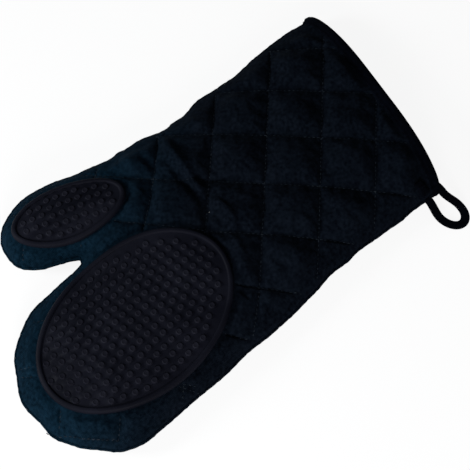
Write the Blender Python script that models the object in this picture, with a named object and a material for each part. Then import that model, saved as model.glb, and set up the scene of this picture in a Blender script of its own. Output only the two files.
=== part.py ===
# Quilted cotton oven mitt with two moulded silicone grip pads, lying palm up.
# X runs across the hand towards the thumb, Y from the cuff to the fingertips and Z up.
# Each panel is a quilted sandwich of cover, wadding and lining, and the two panels are
# joined along a seam that runs round the sides, the fingers and the thumb.

import math

import bmesh
import bpy
import numpy as np
from mathutils import Vector
from mathutils.geometry import delaunay_2d_cdt

# Overall sizes, in metres
GLOVE_LENGTH = 0.320
GLOVE_HALF_WIDTH = 0.080
CUFF_SLANT = 0.0315
CUFF_BOW = 0.0045
CUFF_LEVEL = -0.0015
SEAM_HEIGHT = 0.0100
PALM_RISE = 0.0120
PALM_DOME_REACH = 0.062
BACK_DOME_REACH = 0.030
PRESSED_FLAT = 0.0010

# Cloth and wadding
GAP = 0.0003
COVER_THICKNESS = 0.0008
LINING_THICKNESS = 0.0006
WADDING_AT_STITCHES = 0.0006
WADDING_AT_CROWN = 0.0040
WADDING_UNDER_PAD = 0.0020
SEAM_INSET = 0.0034
RIM_RISE = 0.0026
RIM_BULGE = 0.0008
LAYER_INSET = 0.0042
EDGE_FADE = 0.0120
CUFF_FADE = 0.0090
PAD_FADE = 0.0080

# Quilting
QUILT_PITCH = 0.0373
QUILT_ORIGIN = (0.0014, 0.1049)
QUILT_EDGE_MARGIN = 0.0072
BACK_QUILT_SHIFT = 0.0060

# Cuff binding
BINDING_WIDTH = 0.0066
BINDING_THICKNESS = 0.0012
BINDING_SETBACK = 0.0050

# Silicone pads
PALM_PAD_SIDE_MARGIN = 0.0076
PALM_PAD_TIP_MARGIN = 0.0136
THUMB_PAD_SIDE_MARGIN = 0.0057
THUMB_PAD_TIP_MARGIN = 0.0088
PAD_PLATE = 0.0014
PAD_RIM_WIDTH = 0.0040
PAD_RIM_HEIGHT = 0.0027
PAD_SEAT_GAP = 0.0005
DOT_PITCH = 0.0067
DOT_RADIUS = 0.0017
DOT_TOP_RADIUS = 0.0014
DOT_HEIGHT = 0.0009
DOT_CLEARANCE = 0.0033

# Hanging loop, of tape, and the end that is sewn down
TAPE_WIDTH = 0.0062
TAPE_THICKNESS = 0.0013
LOOP_LEG = 0.0125
LOOP_REACH = 0.0118
LOOP_HALF_SPREAD = 0.0084
LOOP_ROOT_HALF_SPREAD = 0.0070
LOOP_ROOT_GAP = 0.0009
LOOP_CUFF_OFFSET = 0.0068
LOOP_SWAY = 0.0030
LOOP_FLOOR_GAP = 0.0006
TAB_LENGTH = 0.0090
TAB_SEAT_GAP = 0.0008
TACK_LENGTH = 0.0050
TACK_WIDTH = 0.0012
TACK_HEIGHT = 0.0007

# Mesh spacings
OUTLINE_STEP = 0.0110
POINT_SPACING = 0.0046
BEND_INSET = 0.0125
FLAT_INSET = 0.0250
CUFF_STATIONS = 11
PAD_SEGMENTS = 48
LOOP_TURN_STEPS = 14
LOOP_LEG_STEPS = 5
TAB_STATIONS = (4, 3)
TACK_STATIONS = (2, 3)
SEARCHES_PER_SQUARE = 50

# Outline of the mitt, from the cuff corner away from the thumb, round the fingers, the
# crotch and the thumb: across as shares of the half width, along as shares of the length
OUTLINE_SHARES = (
    (-0.966, 0.100), (-0.946, 0.200), (-0.940, 0.300), (-0.958, 0.450), (-0.984, 0.620),
    (-0.990, 0.780), (-0.955, 0.888), (-0.825, 0.942), (-0.600, 0.982), (-0.250, 1.000),
    (0.050, 0.985), (0.262, 0.944), (0.412, 0.890), (0.490, 0.819), (0.515, 0.750),
    (0.565, 0.717), (0.632, 0.742), (0.710, 0.796), (0.855, 0.832), (1.055, 0.833),
    (1.225, 0.800), (1.318, 0.734), (1.290, 0.662), (1.188, 0.580), (1.112, 0.484),
    (1.055, 0.390), (1.050, 0.266), (1.056, 0.125), (1.044, 0.030),
)
LEFT_CORNER_SHARE = -0.972
RIGHT_CORNER_SHARE = 1.022

# Where each pad lies and how it is turned; its rows of dots have a turn of their own
PALM_PAD_CENTRE_SHARES = (-0.197, 0.729)
THUMB_PAD_CENTRE_SHARES = (0.895, 0.682)
PALM_PAD_TURN = math.radians(3.0)
THUMB_PAD_TURN = math.radians(-18.7)
PALM_ROWS_TURN = math.radians(10.0)
THUMB_ROWS_TURN = math.radians(-17.5)

# The rim's section, in from the pad's edge and up, as shares of its width and height
PAD_RIM_SHARES = ((0, 0.5), (0.22, 0.93), (0.5, 1.0), (0.78, 0.93))
DOT_SIDES = 6
UNDERSIDE_RING_SHARES = (0.78, 0.52, 0.26)

# The binding's rounded fold, as shares of the way in and of the tape's thickness
FOLD_SHARES = ((0.12, 0.24), (0.35, 0))

PILLOW_FULLNESS = 3.0
PILLOW_TOP_SHARE = 0.22
PILLOW_SHOULDER_SHARE = 0.35
DOME_POWER = 0.75
SMOOTH_ANGLE = math.radians(30)

HALF = 0.5
ROOT_TWO = math.sqrt(2.0)
TINY = 1e-7


def scaled(shares):
    """Turn shares of the glove's sizes into a place in metres."""
    return np.array([shares[0] * GLOVE_HALF_WIDTH, shares[1] * GLOVE_LENGTH])


LEFT_X = LEFT_CORNER_SHARE * GLOVE_HALF_WIDTH
RIGHT_X = RIGHT_CORNER_SHARE * GLOVE_HALF_WIDTH
CUFF_MIDDLE_X = (LEFT_X + RIGHT_X) / 2
CUFF_HALF_SPAN = (RIGHT_X - LEFT_X) / 2


def cuff_edge(x):
    """The place along Y of the bound cuff edge, slanted and slightly bowed."""
    across = (x - CUFF_MIDDLE_X) / CUFF_HALF_SPAN
    return CUFF_LEVEL - CUFF_SLANT * HALF * across - CUFF_BOW * (1 - across ** 4)


def cloth_edge(x):
    """Where the layers end, inside the binding's fold."""
    return cuff_edge(x) + BINDING_THICKNESS + GAP


def catmull_rom(before, start, end, after, t):
    """A point on the smooth curve between start and end."""
    return HALF * (
        2 * start + (end - before) * t
        + (2 * before - 5 * start + 4 * end - after) * t ** 2
        + (3 * start - before - 3 * end + after) * t ** 3
    )


def side_outline():
    """The sewn outline from one cuff corner to the other, a smooth curve in short steps."""
    left = np.array([LEFT_X, cuff_edge(LEFT_X)])
    right = np.array([RIGHT_X, cuff_edge(RIGHT_X)])
    straight = np.array([0, 2 * BINDING_WIDTH])
    knots = [left, left + straight]
    knots += [scaled(shares) for shares in OUTLINE_SHARES]
    knots += [right + straight, right]
    knots = [knots[0] - straight] + knots + [knots[-1] - straight]
    points = []
    for before, start, end, after in zip(knots, knots[1:], knots[2:], knots[3:]):
        steps = max(1, round(np.linalg.norm(end - start) / OUTLINE_STEP))
        points += [catmull_rom(before, start, end, after, i / steps) for i in range(steps)]
    points.append(knots[-2])
    return np.array(points)


SIDE = side_outline()
EXTENSION = np.array([0, GLOVE_LENGTH / 4])
SIDE_LINE = np.vstack([SIDE[0] - EXTENSION, SIDE, SIDE[-1] - EXTENSION])


def edge_distance(points):
    """Distance of each point from the sewn outline, which runs on past the cuff."""
    points = np.atleast_2d(points)
    start, run = SIDE_LINE[:-1], np.diff(SIDE_LINE, axis=0)
    offset = points[:, None, :] - start[None]
    along = np.clip((offset * run).sum(-1) / (run * run).sum(-1), 0, 1)
    return np.linalg.norm(offset - along[..., None] * run, axis=-1).min(1)


def reach_to_outline(place, angle):
    """How far the sewn outline lies from a place in one direction."""
    direction = np.array([math.cos(angle), math.sin(angle)])
    run = np.diff(SIDE_LINE, axis=0)
    offset = SIDE_LINE[:-1] - place
    slope = direction[0] * run[:, 1] - direction[1] * run[:, 0]
    slope = np.where(slope == 0, TINY, slope)
    distance = (offset[:, 0] * run[:, 1] - offset[:, 1] * run[:, 0]) / slope
    share = (offset[:, 0] * direction[1] - offset[:, 1] * direction[0]) / slope
    return distance[(distance > 0) & (share >= 0) & (share <= 1)].min()


def inset_outline(inset):
    """The sewn outline moved inwards, with its ends on the cloth's cuff edge."""
    run = np.gradient(SIDE, axis=0)
    run /= np.linalg.norm(run, axis=1)[:, None]
    moved = SIDE + inset * np.column_stack([run[:, 1], -run[:, 0]])
    for end in (0, -1):
        moved[end, 1] = cloth_edge(moved[end, 0])
    return moved


def smooth_step(value):
    """A soft ramp from 0 to 1."""
    value = np.clip(value, 0, 1)
    return value * value * (3 - 2 * value)


class Pad:
    """An oval silicone pad, as large as the sewn outline and its margins to that allow."""

    def __init__(self, centre_shares, turn, side_margin, tip_margin, rows_turn):
        self.centre = scaled(centre_shares)
        self.turn = turn
        self.half_width = edge_distance(self.centre)[0] - side_margin
        self.half_length = reach_to_outline(self.centre, turn + math.pi / 2) - tip_margin
        self.rows_turn = rows_turn

    def oval(self, inset, count):
        """Points along the oval, moved in from the pad's edge."""
        angles = 2 * math.pi * np.arange(count) / count
        across = (self.half_width - inset) * np.cos(angles)
        along = (self.half_length - inset) * np.sin(angles)
        return self.placed(across, along, self.turn)

    def placed(self, across, along, turn):
        """Points given across and along lines at a turn, in the mitt's plan."""
        cos, sin = math.cos(turn), math.sin(turn)
        x = self.centre[0] + cos * across - sin * along
        y = self.centre[1] + sin * across + cos * along
        return np.column_stack([x, y])

    def dots(self):
        """The middle of each dot. Each row holds all that fit, centred on the pad's long axis."""
        keep_in = PAD_RIM_WIDTH + DOT_RADIUS + DOT_CLEARANCE
        half_length, half_width = self.half_length - keep_in, self.half_width - keep_in
        pairs = math.floor(half_length / DOT_PITCH + HALF)
        centres = []
        for row in range(-pairs, pairs):
            along = (row + HALF) * DOT_PITCH
            reach = half_width * math.sqrt(1 - (along / half_length) ** 2)
            count = math.floor(2 * reach / DOT_PITCH) + 1
            across = (np.arange(count) - (count - 1) / 2) * DOT_PITCH
            spread = self.placed(across, 0, self.rows_turn) - self.centre
            centres.append(spread + self.placed(0, along, self.turn))
        return np.vstack(centres)

    def outside(self, points):
        """About how far each point lies outside the pad's edge, less than 0 inside."""
        offset = np.atleast_2d(points) - self.centre
        cos, sin = math.cos(self.turn), math.sin(self.turn)
        across = cos * offset[:, 0] + sin * offset[:, 1]
        along = -sin * offset[:, 0] + cos * offset[:, 1]
        reach = np.hypot(across, along)
        share = np.hypot(across / self.half_width, along / self.half_length)
        centre_depth = np.where(share < TINY, self.half_width, 0)
        return reach - reach / np.maximum(share, TINY) - centre_depth


PALM_PAD = Pad(PALM_PAD_CENTRE_SHARES, PALM_PAD_TURN, PALM_PAD_SIDE_MARGIN,
               PALM_PAD_TIP_MARGIN, PALM_ROWS_TURN)
THUMB_PAD = Pad(THUMB_PAD_CENTRE_SHARES, THUMB_PAD_TURN, THUMB_PAD_SIDE_MARGIN,
                THUMB_PAD_TIP_MARGIN, THUMB_ROWS_TURN)


class Panel:
    """One quilted side of the mitt. It rises from the seam, up for the palm, down for the back."""

    def __init__(self, side, rise, reach, quilt_shift, pads, pressed):
        self.side = side
        self.rise = rise
        self.reach = reach
        self.origin = np.array(QUILT_ORIGIN) + quilt_shift
        self.pads = pads
        self.pressed = pressed

    def quilt_place(self, points):
        """Places counted in quilt squares along the two diagonals."""
        offset = (np.atleast_2d(points) - self.origin) / (ROOT_TWO * QUILT_PITCH)
        return offset[:, 0] + offset[:, 1], offset[:, 0] - offset[:, 1]

    def from_quilt(self, first, second):
        """The plan point at a place counted in quilt squares."""
        step = QUILT_PITCH / ROOT_TWO
        return self.origin + np.array([first + second, first - second]) * step

    def outside_pads(self, points):
        """How far each point lies outside the nearest pad."""
        far = np.full(len(np.atleast_2d(points)), GLOVE_LENGTH)
        for pad in self.pads:
            far = np.minimum(far, pad.outside(points))
        return far

    def wadding(self, points):
        """Thickness of the wadding: full in each quilt square, thin at the stitches."""
        points = np.atleast_2d(points)
        first, second = self.quilt_place(points)
        pillow = np.ones(len(points))
        for place in (first, second):
            pillow *= 1 - np.abs(2 * (place - np.floor(place) - HALF)) ** PILLOW_FULLNESS
        from_cuff = points[:, 1] - cloth_edge(points[:, 0]) - BINDING_WIDTH
        pillow *= smooth_step((edge_distance(points) - LAYER_INSET) / EDGE_FADE)
        pillow *= smooth_step(from_cuff / CUFF_FADE)
        quilted = WADDING_AT_STITCHES + (WADDING_AT_CROWN - WADDING_AT_STITCHES) * pillow
        free = smooth_step(self.outside_pads(points) / PAD_FADE)
        return WADDING_UNDER_PAD + (quilted - WADDING_UNDER_PAD) * free

    def inside(self, points):
        """Height of the lining's inner face over the seam, smooth as a dome."""
        share = np.clip(edge_distance(points) / self.reach, 0, 1)
        return GAP / 2 + self.rise * (1 - (1 - share) ** 2) ** DOME_POWER

    def face(self, points, layer):
        """Height of a layer's face in the mitt's frame; layer 0 is the lining's inner face."""
        points = np.atleast_2d(points)
        lift = self.inside(points)
        still_outside = COVER_THICKNESS
        if layer >= 1:
            lift = lift + LINING_THICKNESS
        if layer >= 2:
            lift = lift + GAP
        if layer >= 3:
            lift = lift + self.wadding(points)
            still_outside += GAP
        if layer >= 4:
            lift = lift + GAP
            still_outside -= GAP
        if layer >= 5:
            lift = lift + COVER_THICKNESS
            still_outside = 0
        height = SEAM_HEIGHT + self.side * lift
        if self.pressed and layer >= 3:
            height = np.maximum(height, still_outside)
        return height


FULL_STACK = LINING_THICKNESS + GAP + WADDING_AT_CROWN + GAP + COVER_THICKNESS
BACK_DROP = SEAM_HEIGHT + PRESSED_FLAT - GAP / 2 - FULL_STACK
BACK_SHIFT = np.array([BACK_QUILT_SHIFT, -BACK_QUILT_SHIFT])
PALM = Panel(1, PALM_RISE, PALM_DOME_REACH, np.zeros(2), (PALM_PAD, THUMB_PAD), False)
BACK = Panel(-1, BACK_DROP, BACK_DOME_REACH, BACK_SHIFT, (), True)


class Plan:
    """Points and fixed edges in the plan of a panel, ready to be triangulated."""

    def __init__(self):
        self.points = []
        self.edges = []
        self.plain = []

    def add(self, point, spacing=0, plain=True):
        """Add a point unless another is nearer than the spacing; return its number or None."""
        if spacing and self.points:
            gaps = np.linalg.norm(np.array(self.points) - point, axis=1)
            if gaps.min() < spacing:
                return None
        self.points.append(np.array(point))
        self.plain.append(plain)
        return len(self.points) - 1

    def find_or_add(self, point, spacing):
        """The number of the point that is already there, or of a new one."""
        gaps = np.linalg.norm(np.array(self.points) - point, axis=1)
        if gaps.min() < spacing:
            return int(gaps.argmin())
        return self.add(point)

    def chain(self, numbers, closed=False):
        """Fix the edges from each point to the next."""
        pairs = list(zip(numbers, numbers[1:]))
        if closed:
            pairs.append((numbers[-1], numbers[0]))
        self.edges += [pair for pair in pairs if pair[0] != pair[1]]

    def triangles(self, loop, keep=None):
        """Triangles inside a loop of points, without those that use a point left out."""
        used = [i for i in range(len(self.points)) if keep is None or keep[i]]
        number = {old: new for new, old in enumerate(used)}
        points = [Vector(self.points[i]) for i in used]
        edges = [(number[a], number[b]) for a, b in self.edges if a in number and b in number]
        face = [number[i] for i in loop]
        result = delaunay_2d_cdt(points, edges, [face], 1, TINY)
        origins = result[3]
        triangles = []
        for triangle in result[2]:
            corners = [used[origins[i][0]] for i in triangle]
            a, b, c = (self.points[i] for i in corners)
            turned = (b[0] - a[0]) * (c[1] - a[1]) - (b[1] - a[1]) * (c[0] - a[0])
            triangles.append(corners if turned > 0 else corners[::-1])
        return triangles


def cuff_row(first_x, last_x, depth):
    """Points across the cuff at one depth from the cloth's edge."""
    inner = np.linspace(LEFT_X + BEND_INSET, RIGHT_X - BEND_INSET, CUFF_STATIONS)
    xs = np.concatenate([[first_x], inner, [last_x]])
    return np.column_stack([xs, cloth_edge(xs) + depth])


def inside_quilting(panel, points):
    """Whether stitching runs there: clear of the seam, the binding and the pads."""
    points = np.atleast_2d(points)
    clear_of_cuff = points[:, 1] - cloth_edge(points[:, 0]) > BINDING_WIDTH + POINT_SPACING
    clear_of_edge = edge_distance(points) > QUILT_EDGE_MARGIN
    clear_of_pads = panel.outside_pads(points) > POINT_SPACING
    on_glove = points[:, 1] > cuff_edge(points[:, 0])
    return clear_of_cuff & clear_of_edge & clear_of_pads & on_glove & within_outline(points)


def within_outline(points):
    """Whether each point lies inside the sewn outline, by counting crossings."""
    start, end = SIDE_LINE, np.roll(SIDE_LINE, -1, axis=0)
    x, y = points[:, :1], points[:, 1:]
    spans = (start[:, 1] > y) != (end[:, 1] > y)
    rise = np.where(end[:, 1] == start[:, 1], 1, end[:, 1] - start[:, 1])
    crossing = start[:, 0] + (y - start[:, 1]) * (end[:, 0] - start[:, 0]) / rise
    return (spans & (x < crossing)).sum(1) % 2 == 1


def quilt_lines(panel, plan):
    """Add the stitched lines: a point at each crossing, one half way, and the line's ends."""
    reach = math.ceil(GLOVE_LENGTH / QUILT_PITCH)
    fine = np.arange(-reach, reach, 1 / SEARCHES_PER_SQUARE)
    for line in range(-reach, reach + 1):
        for along_first in (True, False):
            places = [(t, line) if along_first else (line, t) for t in fine]
            track = np.array([panel.from_quilt(*place) for place in places])
            inside = inside_quilting(panel, track)
            steps = np.flatnonzero(np.diff(inside.astype(int)))
            for begin, finish in zip(steps[::2] + 1, steps[1::2]):
                marks = [fine[begin], fine[finish]]
                halves = np.arange(math.ceil(2 * marks[0]), math.floor(2 * marks[1]) + 1) / 2
                marks = sorted(marks + list(halves))
                points = [panel.from_quilt(*((m, line) if along_first else (line, m))) for m in marks]
                plan.chain([plan.find_or_add(p, POINT_SPACING) for p in points])


def pillow_points(panel, plan):
    """Add the flat top of each quilt square and, on the palm, its shoulders."""
    reach = math.ceil(GLOVE_LENGTH / QUILT_PITCH)
    top, shoulder = PILLOW_TOP_SHARE, PILLOW_SHOULDER_SHARE
    offsets = [(-top, -top), (-top, top), (top, -top), (top, top)]
    if panel.side > 0:
        offsets += [(0, 0), (-shoulder, 0), (shoulder, 0), (0, -shoulder), (0, shoulder)]
    for first in range(-reach, reach):
        for second in range(-reach, reach):
            for across, along in offsets:
                place = (first + HALF + across, second + HALF + along)
                point = panel.from_quilt(*place)
                if inside_quilting(panel, point)[0]:
                    plan.add(point, POINT_SPACING, plain=False)


def pad_seat(pad, plan):
    """Add a ring just outside a pad, and a few points under it, so that it sits evenly."""
    ring = pad.oval(-GAP, PAD_SEGMENTS // 2)
    numbers = [plan.add(point) for point in ring]
    plan.chain(numbers, closed=True)
    rows = round(2 * pad.half_length / (4 * POINT_SPACING))
    columns = round(2 * pad.half_width / (4 * POINT_SPACING))
    for across in np.linspace(-pad.half_width, pad.half_width, columns + 1):
        for along in np.linspace(-pad.half_length, pad.half_length, rows + 1):
            point = pad.placed(across, along, pad.turn)[0]
            if pad.outside(point)[0] < -2 * POINT_SPACING:
                plan.add(point, POINT_SPACING)


def fill_points(panel, plan):
    """Add a ring inside the seam, where the cloth bends most, where no point is near."""
    for inset in (BEND_INSET, FLAT_INSET):
        for point in inset_outline(inset):
            clear = panel.outside_pads(point)[0] > POINT_SPACING
            deep = point[1] - cloth_edge(point[0]) > BINDING_WIDTH + POINT_SPACING
            if clear and deep and edge_distance(point)[0] > HALF * BEND_INSET:
                plan.add(point, 2 * POINT_SPACING)


def mesh_object(name, points, faces, material):
    """Make an object from points and faces, drop unused points and shade its low bends smooth."""
    mesh = bpy.data.meshes.new(name)
    used = sorted({i for face in faces for i in face})
    number = {old: new for new, old in enumerate(used)}
    mesh.from_pydata([points[i] for i in used], [], [[number[i] for i in f] for f in faces])
    shape = bmesh.new()
    shape.from_mesh(mesh)
    bmesh.ops.recalc_face_normals(shape, faces=shape.faces)
    shape.to_mesh(mesh)
    shape.free()
    mesh.shade_smooth()
    mesh.set_sharp_from_angle(angle=SMOOTH_ANGLE)
    obj = bpy.data.objects.new(name, mesh)
    bpy.context.collection.objects.link(obj)
    mesh.materials.append(material)
    return obj


def make_material(name, colour, roughness):
    """A plain surface of one colour."""
    material = bpy.data.materials.new(name)
    material.use_nodes = True
    surface = material.node_tree.nodes["Principled BSDF"]
    surface.inputs["Base Color"].default_value = (*colour, 1)
    surface.inputs["Roughness"].default_value = roughness
    surface.inputs["Metallic"].default_value = 0
    return material


def slab(name, upper, lower, upper_faces, lower_faces, loop, material):
    """A closed sheet between two faces that share a loop of edge points."""
    points = [*upper, *lower]
    count = len(upper)
    faces = [list(face) for face in upper_faces]
    faces += [[i + count for i in reversed(face)] for face in lower_faces]
    for a, b in zip(loop, loop[1:] + loop[:1]):
        faces.append([b, a, a + count, b + count])
    return mesh_object(name, points, faces, material)


def lifted(panel, plan_points, layer):
    """Plan points raised to a layer's face."""
    plan_points = np.array(plan_points)
    return np.column_stack([plan_points, panel.face(plan_points, layer)])


def palm_plan():
    """The palm panel's plan. The cover reaches the seam, and the other layers stop short."""
    plan = Plan()
    edge = inset_outline(SEAM_INSET)
    cuff = cuff_row(edge[0, 0], edge[-1, 0], 0)
    loop = [plan.add(point) for point in edge]
    loop += [plan.add(point) for point in cuff[-2:0:-1]]
    stitched = cuff_row(edge[0, 0], edge[-1, 0], BINDING_WIDTH)[1:-1]
    row = [plan.add(point) for point in stitched]
    plan.chain(loop, closed=True)
    plan.chain(row)
    return plan, loop


def back_plan():
    """The back panel's plan: the outline, a ring where the inner layers stop, and the quilting."""
    plan = Plan()
    edge = SIDE.copy()
    for end in (0, -1):
        edge[end, 1] = cloth_edge(edge[end, 0])
    ring = inset_outline(LAYER_INSET)
    cuff = cuff_row(ring[0, 0], ring[-1, 0], 0)
    outer = [plan.add(point) for point in edge]
    inner = [plan.add(point) for point in ring]
    across = [plan.add(point) for point in cuff[-2:0:-1]]
    stitched = cuff_row(ring[0, 0], ring[-1, 0], BINDING_WIDTH)[1:-1]
    row = [plan.add(point) for point in stitched]
    outer_loop = outer + [inner[-1]] + across + [inner[0]]
    inner_loop = inner + across
    plan.chain(outer_loop, closed=True)
    plan.chain(inner_loop, closed=True)
    plan.chain(row)
    return plan, outer, outer_loop, inner_loop


def palm_layers(cover_material, wadding_material, lining_material):
    """The palm's cover, wadding and lining."""
    plan, loop = palm_plan()
    for pad in PALM.pads:
        pad_seat(pad, plan)
    quilt_lines(PALM, plan)
    pillow_points(PALM, plan)
    fill_points(PALM, plan)
    quilted = plan.triangles(loop)
    smooth = plan.triangles(loop, plan.plain)
    loop = loop[::-1]
    cover = np.array(plan.points)
    slab("palm_cover", lifted(PALM, cover, 5), lifted(PALM, cover, 4), quilted, quilted,
         loop, cover_material)
    inner = cover.copy()
    sewn = inset_outline(LAYER_INSET)
    inner[:len(sewn)] = sewn
    slab("palm_wadding", lifted(PALM, inner, 3), lifted(PALM, inner, 2), quilted, smooth,
         loop, wadding_material)
    slab("palm_lining", lifted(PALM, inner, 1), lifted(PALM, inner, 0), smooth, smooth,
         loop, lining_material)


def back_cover(plan, outer, outer_loop, quilted, material):
    """The back's cover, whose edge rolls over the side and ends at the seam on the palm side."""
    points = np.array(plan.points)
    count = len(points)
    sewn = len(outer)
    low = lifted(BACK, points, 5)
    low[:sewn, 2] = SEAM_HEIGHT
    high = lifted(BACK, points, 4)
    inner_edge = inset_outline(COVER_THICKNESS)
    high[:sewn, :2] = inner_edge
    high[:sewn, 2] = SEAM_HEIGHT
    top_inset = SEAM_INSET - GAP
    bulge_out = inset_outline(RIM_BULGE)
    bulge_in = inset_outline(RIM_BULGE + COVER_THICKNESS)
    top = inset_outline(top_inset)
    top_height = PALM.face(top, 5)
    rings = [
        np.column_stack([bulge_out, np.full(sewn, SEAM_HEIGHT + RIM_RISE)]),
        np.column_stack([top, top_height]),
        np.column_stack([top, top_height - COVER_THICKNESS]),
        np.column_stack([bulge_in, np.full(sewn, SEAM_HEIGHT + RIM_RISE - COVER_THICKNESS)]),
    ]
    everything = np.vstack([low, high] + rings)
    faces = [list(face[::-1]) for face in quilted]
    faces += [[i + count for i in face] for face in quilted]
    first = 2 * count
    strips = [list(range(sewn))]
    strips += [list(range(first + k * sewn, first + (k + 1) * sewn)) for k in range(len(rings))]
    strips.append([i + count for i in range(sewn)])
    for one, other in zip(strips, strips[1:]):
        for i in range(sewn - 1):
            faces.append([one[i], one[i + 1], other[i + 1], other[i]])
    cuff_side = outer_loop[sewn - 1:] + outer_loop[:1]
    for a, b in zip(cuff_side, cuff_side[1:]):
        faces.append([a, b, b + count, a + count])
    left_end = [strip[0] for strip in strips]
    right_end = [strip[-1] for strip in strips]
    faces.append(left_end)
    faces.append(right_end[::-1])
    return mesh_object("back_cover", everything, faces, material)


def back_layers(cover_material, wadding_material, lining_material):
    """The back's cover, wadding and lining."""
    plan, outer, outer_loop, inner_loop = back_plan()
    quilt_lines(BACK, plan)
    pillow_points(BACK, plan)
    fill_points(BACK, plan)
    quilted = plan.triangles(outer_loop)
    back_cover(plan, outer, outer_loop, quilted, cover_material)
    keep_inner = [i >= len(outer) for i in range(len(plan.points))]
    keep_smooth = [a and b for a, b in zip(keep_inner, plan.plain)]
    quilted = plan.triangles(inner_loop, keep_inner)
    smooth = plan.triangles(inner_loop, keep_smooth)
    points = np.array(plan.points)
    loop = inner_loop[::-1]
    slab("back_wadding", lifted(BACK, points, 2), lifted(BACK, points, 3), smooth, quilted,
         loop, wadding_material)
    slab("back_lining", lifted(BACK, points, 0), lifted(BACK, points, 1), smooth, smooth,
         loop, lining_material)


def shift_outline(points, distance):
    """Move a closed line of (x, z) points outwards, square to the line on both sides."""
    before = points - np.roll(points, 1, axis=0)
    after = np.roll(points, -1, axis=0) - points
    normals = []
    for run in (before, after):
        run = run / np.linalg.norm(run, axis=1)[:, None]
        normals.append(np.column_stack([-run[:, 1], run[:, 0]]))
    middle = normals[0] + normals[1]
    middle /= np.linalg.norm(middle, axis=1)[:, None]
    stretch = 1 / np.maximum((middle * normals[0]).sum(1), HALF)
    return points + distance * stretch[:, None] * middle


def cuff_binding(material):
    """A folded tape that wraps the cuff's edge, outside and inside, all round the mouth."""
    across = np.linspace(LEFT_X + BEND_INSET, RIGHT_X - BEND_INSET, CUFF_STATIONS)

    def skin(panel, xs, layer):
        return panel.face(np.column_stack([xs, cloth_edge(xs)]), layer)

    seam_x = np.array([LEFT_X + SEAM_INSET, RIGHT_X - SEAM_INSET])
    ring_x = np.array([LEFT_X + LAYER_INSET, RIGHT_X - LAYER_INSET])
    inner_x = np.array([LEFT_X + BINDING_SETBACK, RIGHT_X - BINDING_SETBACK])
    bulge_z = SEAM_HEIGHT + RIM_RISE
    palm_x = np.concatenate([seam_x[:1], across, seam_x[1:]])
    back_x = np.concatenate([ring_x[1:], across[::-1], ring_x[:1]])
    outer = list(zip(palm_x, skin(PALM, palm_x, 5)))
    outer += [(RIGHT_X - RIM_BULGE, bulge_z), (RIGHT_X, SEAM_HEIGHT)]
    outer += list(zip(back_x, skin(BACK, back_x, 5)))
    outer += [(LEFT_X, SEAM_HEIGHT), (LEFT_X + RIM_BULGE, bulge_z)]
    palm_x = np.concatenate([inner_x[:1], across, inner_x[1:]])
    back_x = np.concatenate([inner_x[1:], across[::-1], inner_x[:1]])
    palm_z, back_z = skin(PALM, palm_x, 0), skin(BACK, back_x, 0)
    step = (palm_z[0] - back_z[-1]) / 3
    wall = palm_z[0] - step, back_z[-1] + step
    inner = list(zip(palm_x, palm_z))
    inner += [(inner_x[1], wall[0]), (inner_x[1], wall[1])]
    inner += list(zip(back_x, back_z))
    inner += [(inner_x[0], wall[1]), (inner_x[0], wall[0])]
    outer, inner = np.array(outer), np.array(inner)
    outside = shift_outline(outer, GAP + BINDING_THICKNESS)
    outside_seat = shift_outline(outer, GAP)
    inside_seat = shift_outline(inner, -GAP)
    inside = shift_outline(inner, -GAP - BINDING_THICKNESS)
    fold = BINDING_THICKNESS
    full = fold + GAP + BINDING_WIDTH
    rounded = [(outside + (inside - outside) * way, fold * depth) for way, depth in FOLD_SHARES]
    rounded += [(inside + (outside - inside) * way, fold * depth)
                for way, depth in reversed(FOLD_SHARES)]
    profile = [(outside, full), (outside, fold), *rounded, (inside, fold), (inside, full)]
    profile += [(inside_seat, full), (inside_seat, fold), (outside_seat, fold), (outside_seat, full)]
    points = []
    for line, inward in profile:
        points += [(x, cuff_edge(x) + inward, z) for x, z in line]
    stations, sides = len(outer), len(profile)
    faces = []
    for side in range(sides):
        for station in range(stations):
            after = (station + 1) % stations
            other = (side + 1) % sides
            faces.append([side * stations + station, other * stations + station,
                          other * stations + after, side * stations + after])
    return mesh_object("cuff_binding", points, faces, material)


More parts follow.
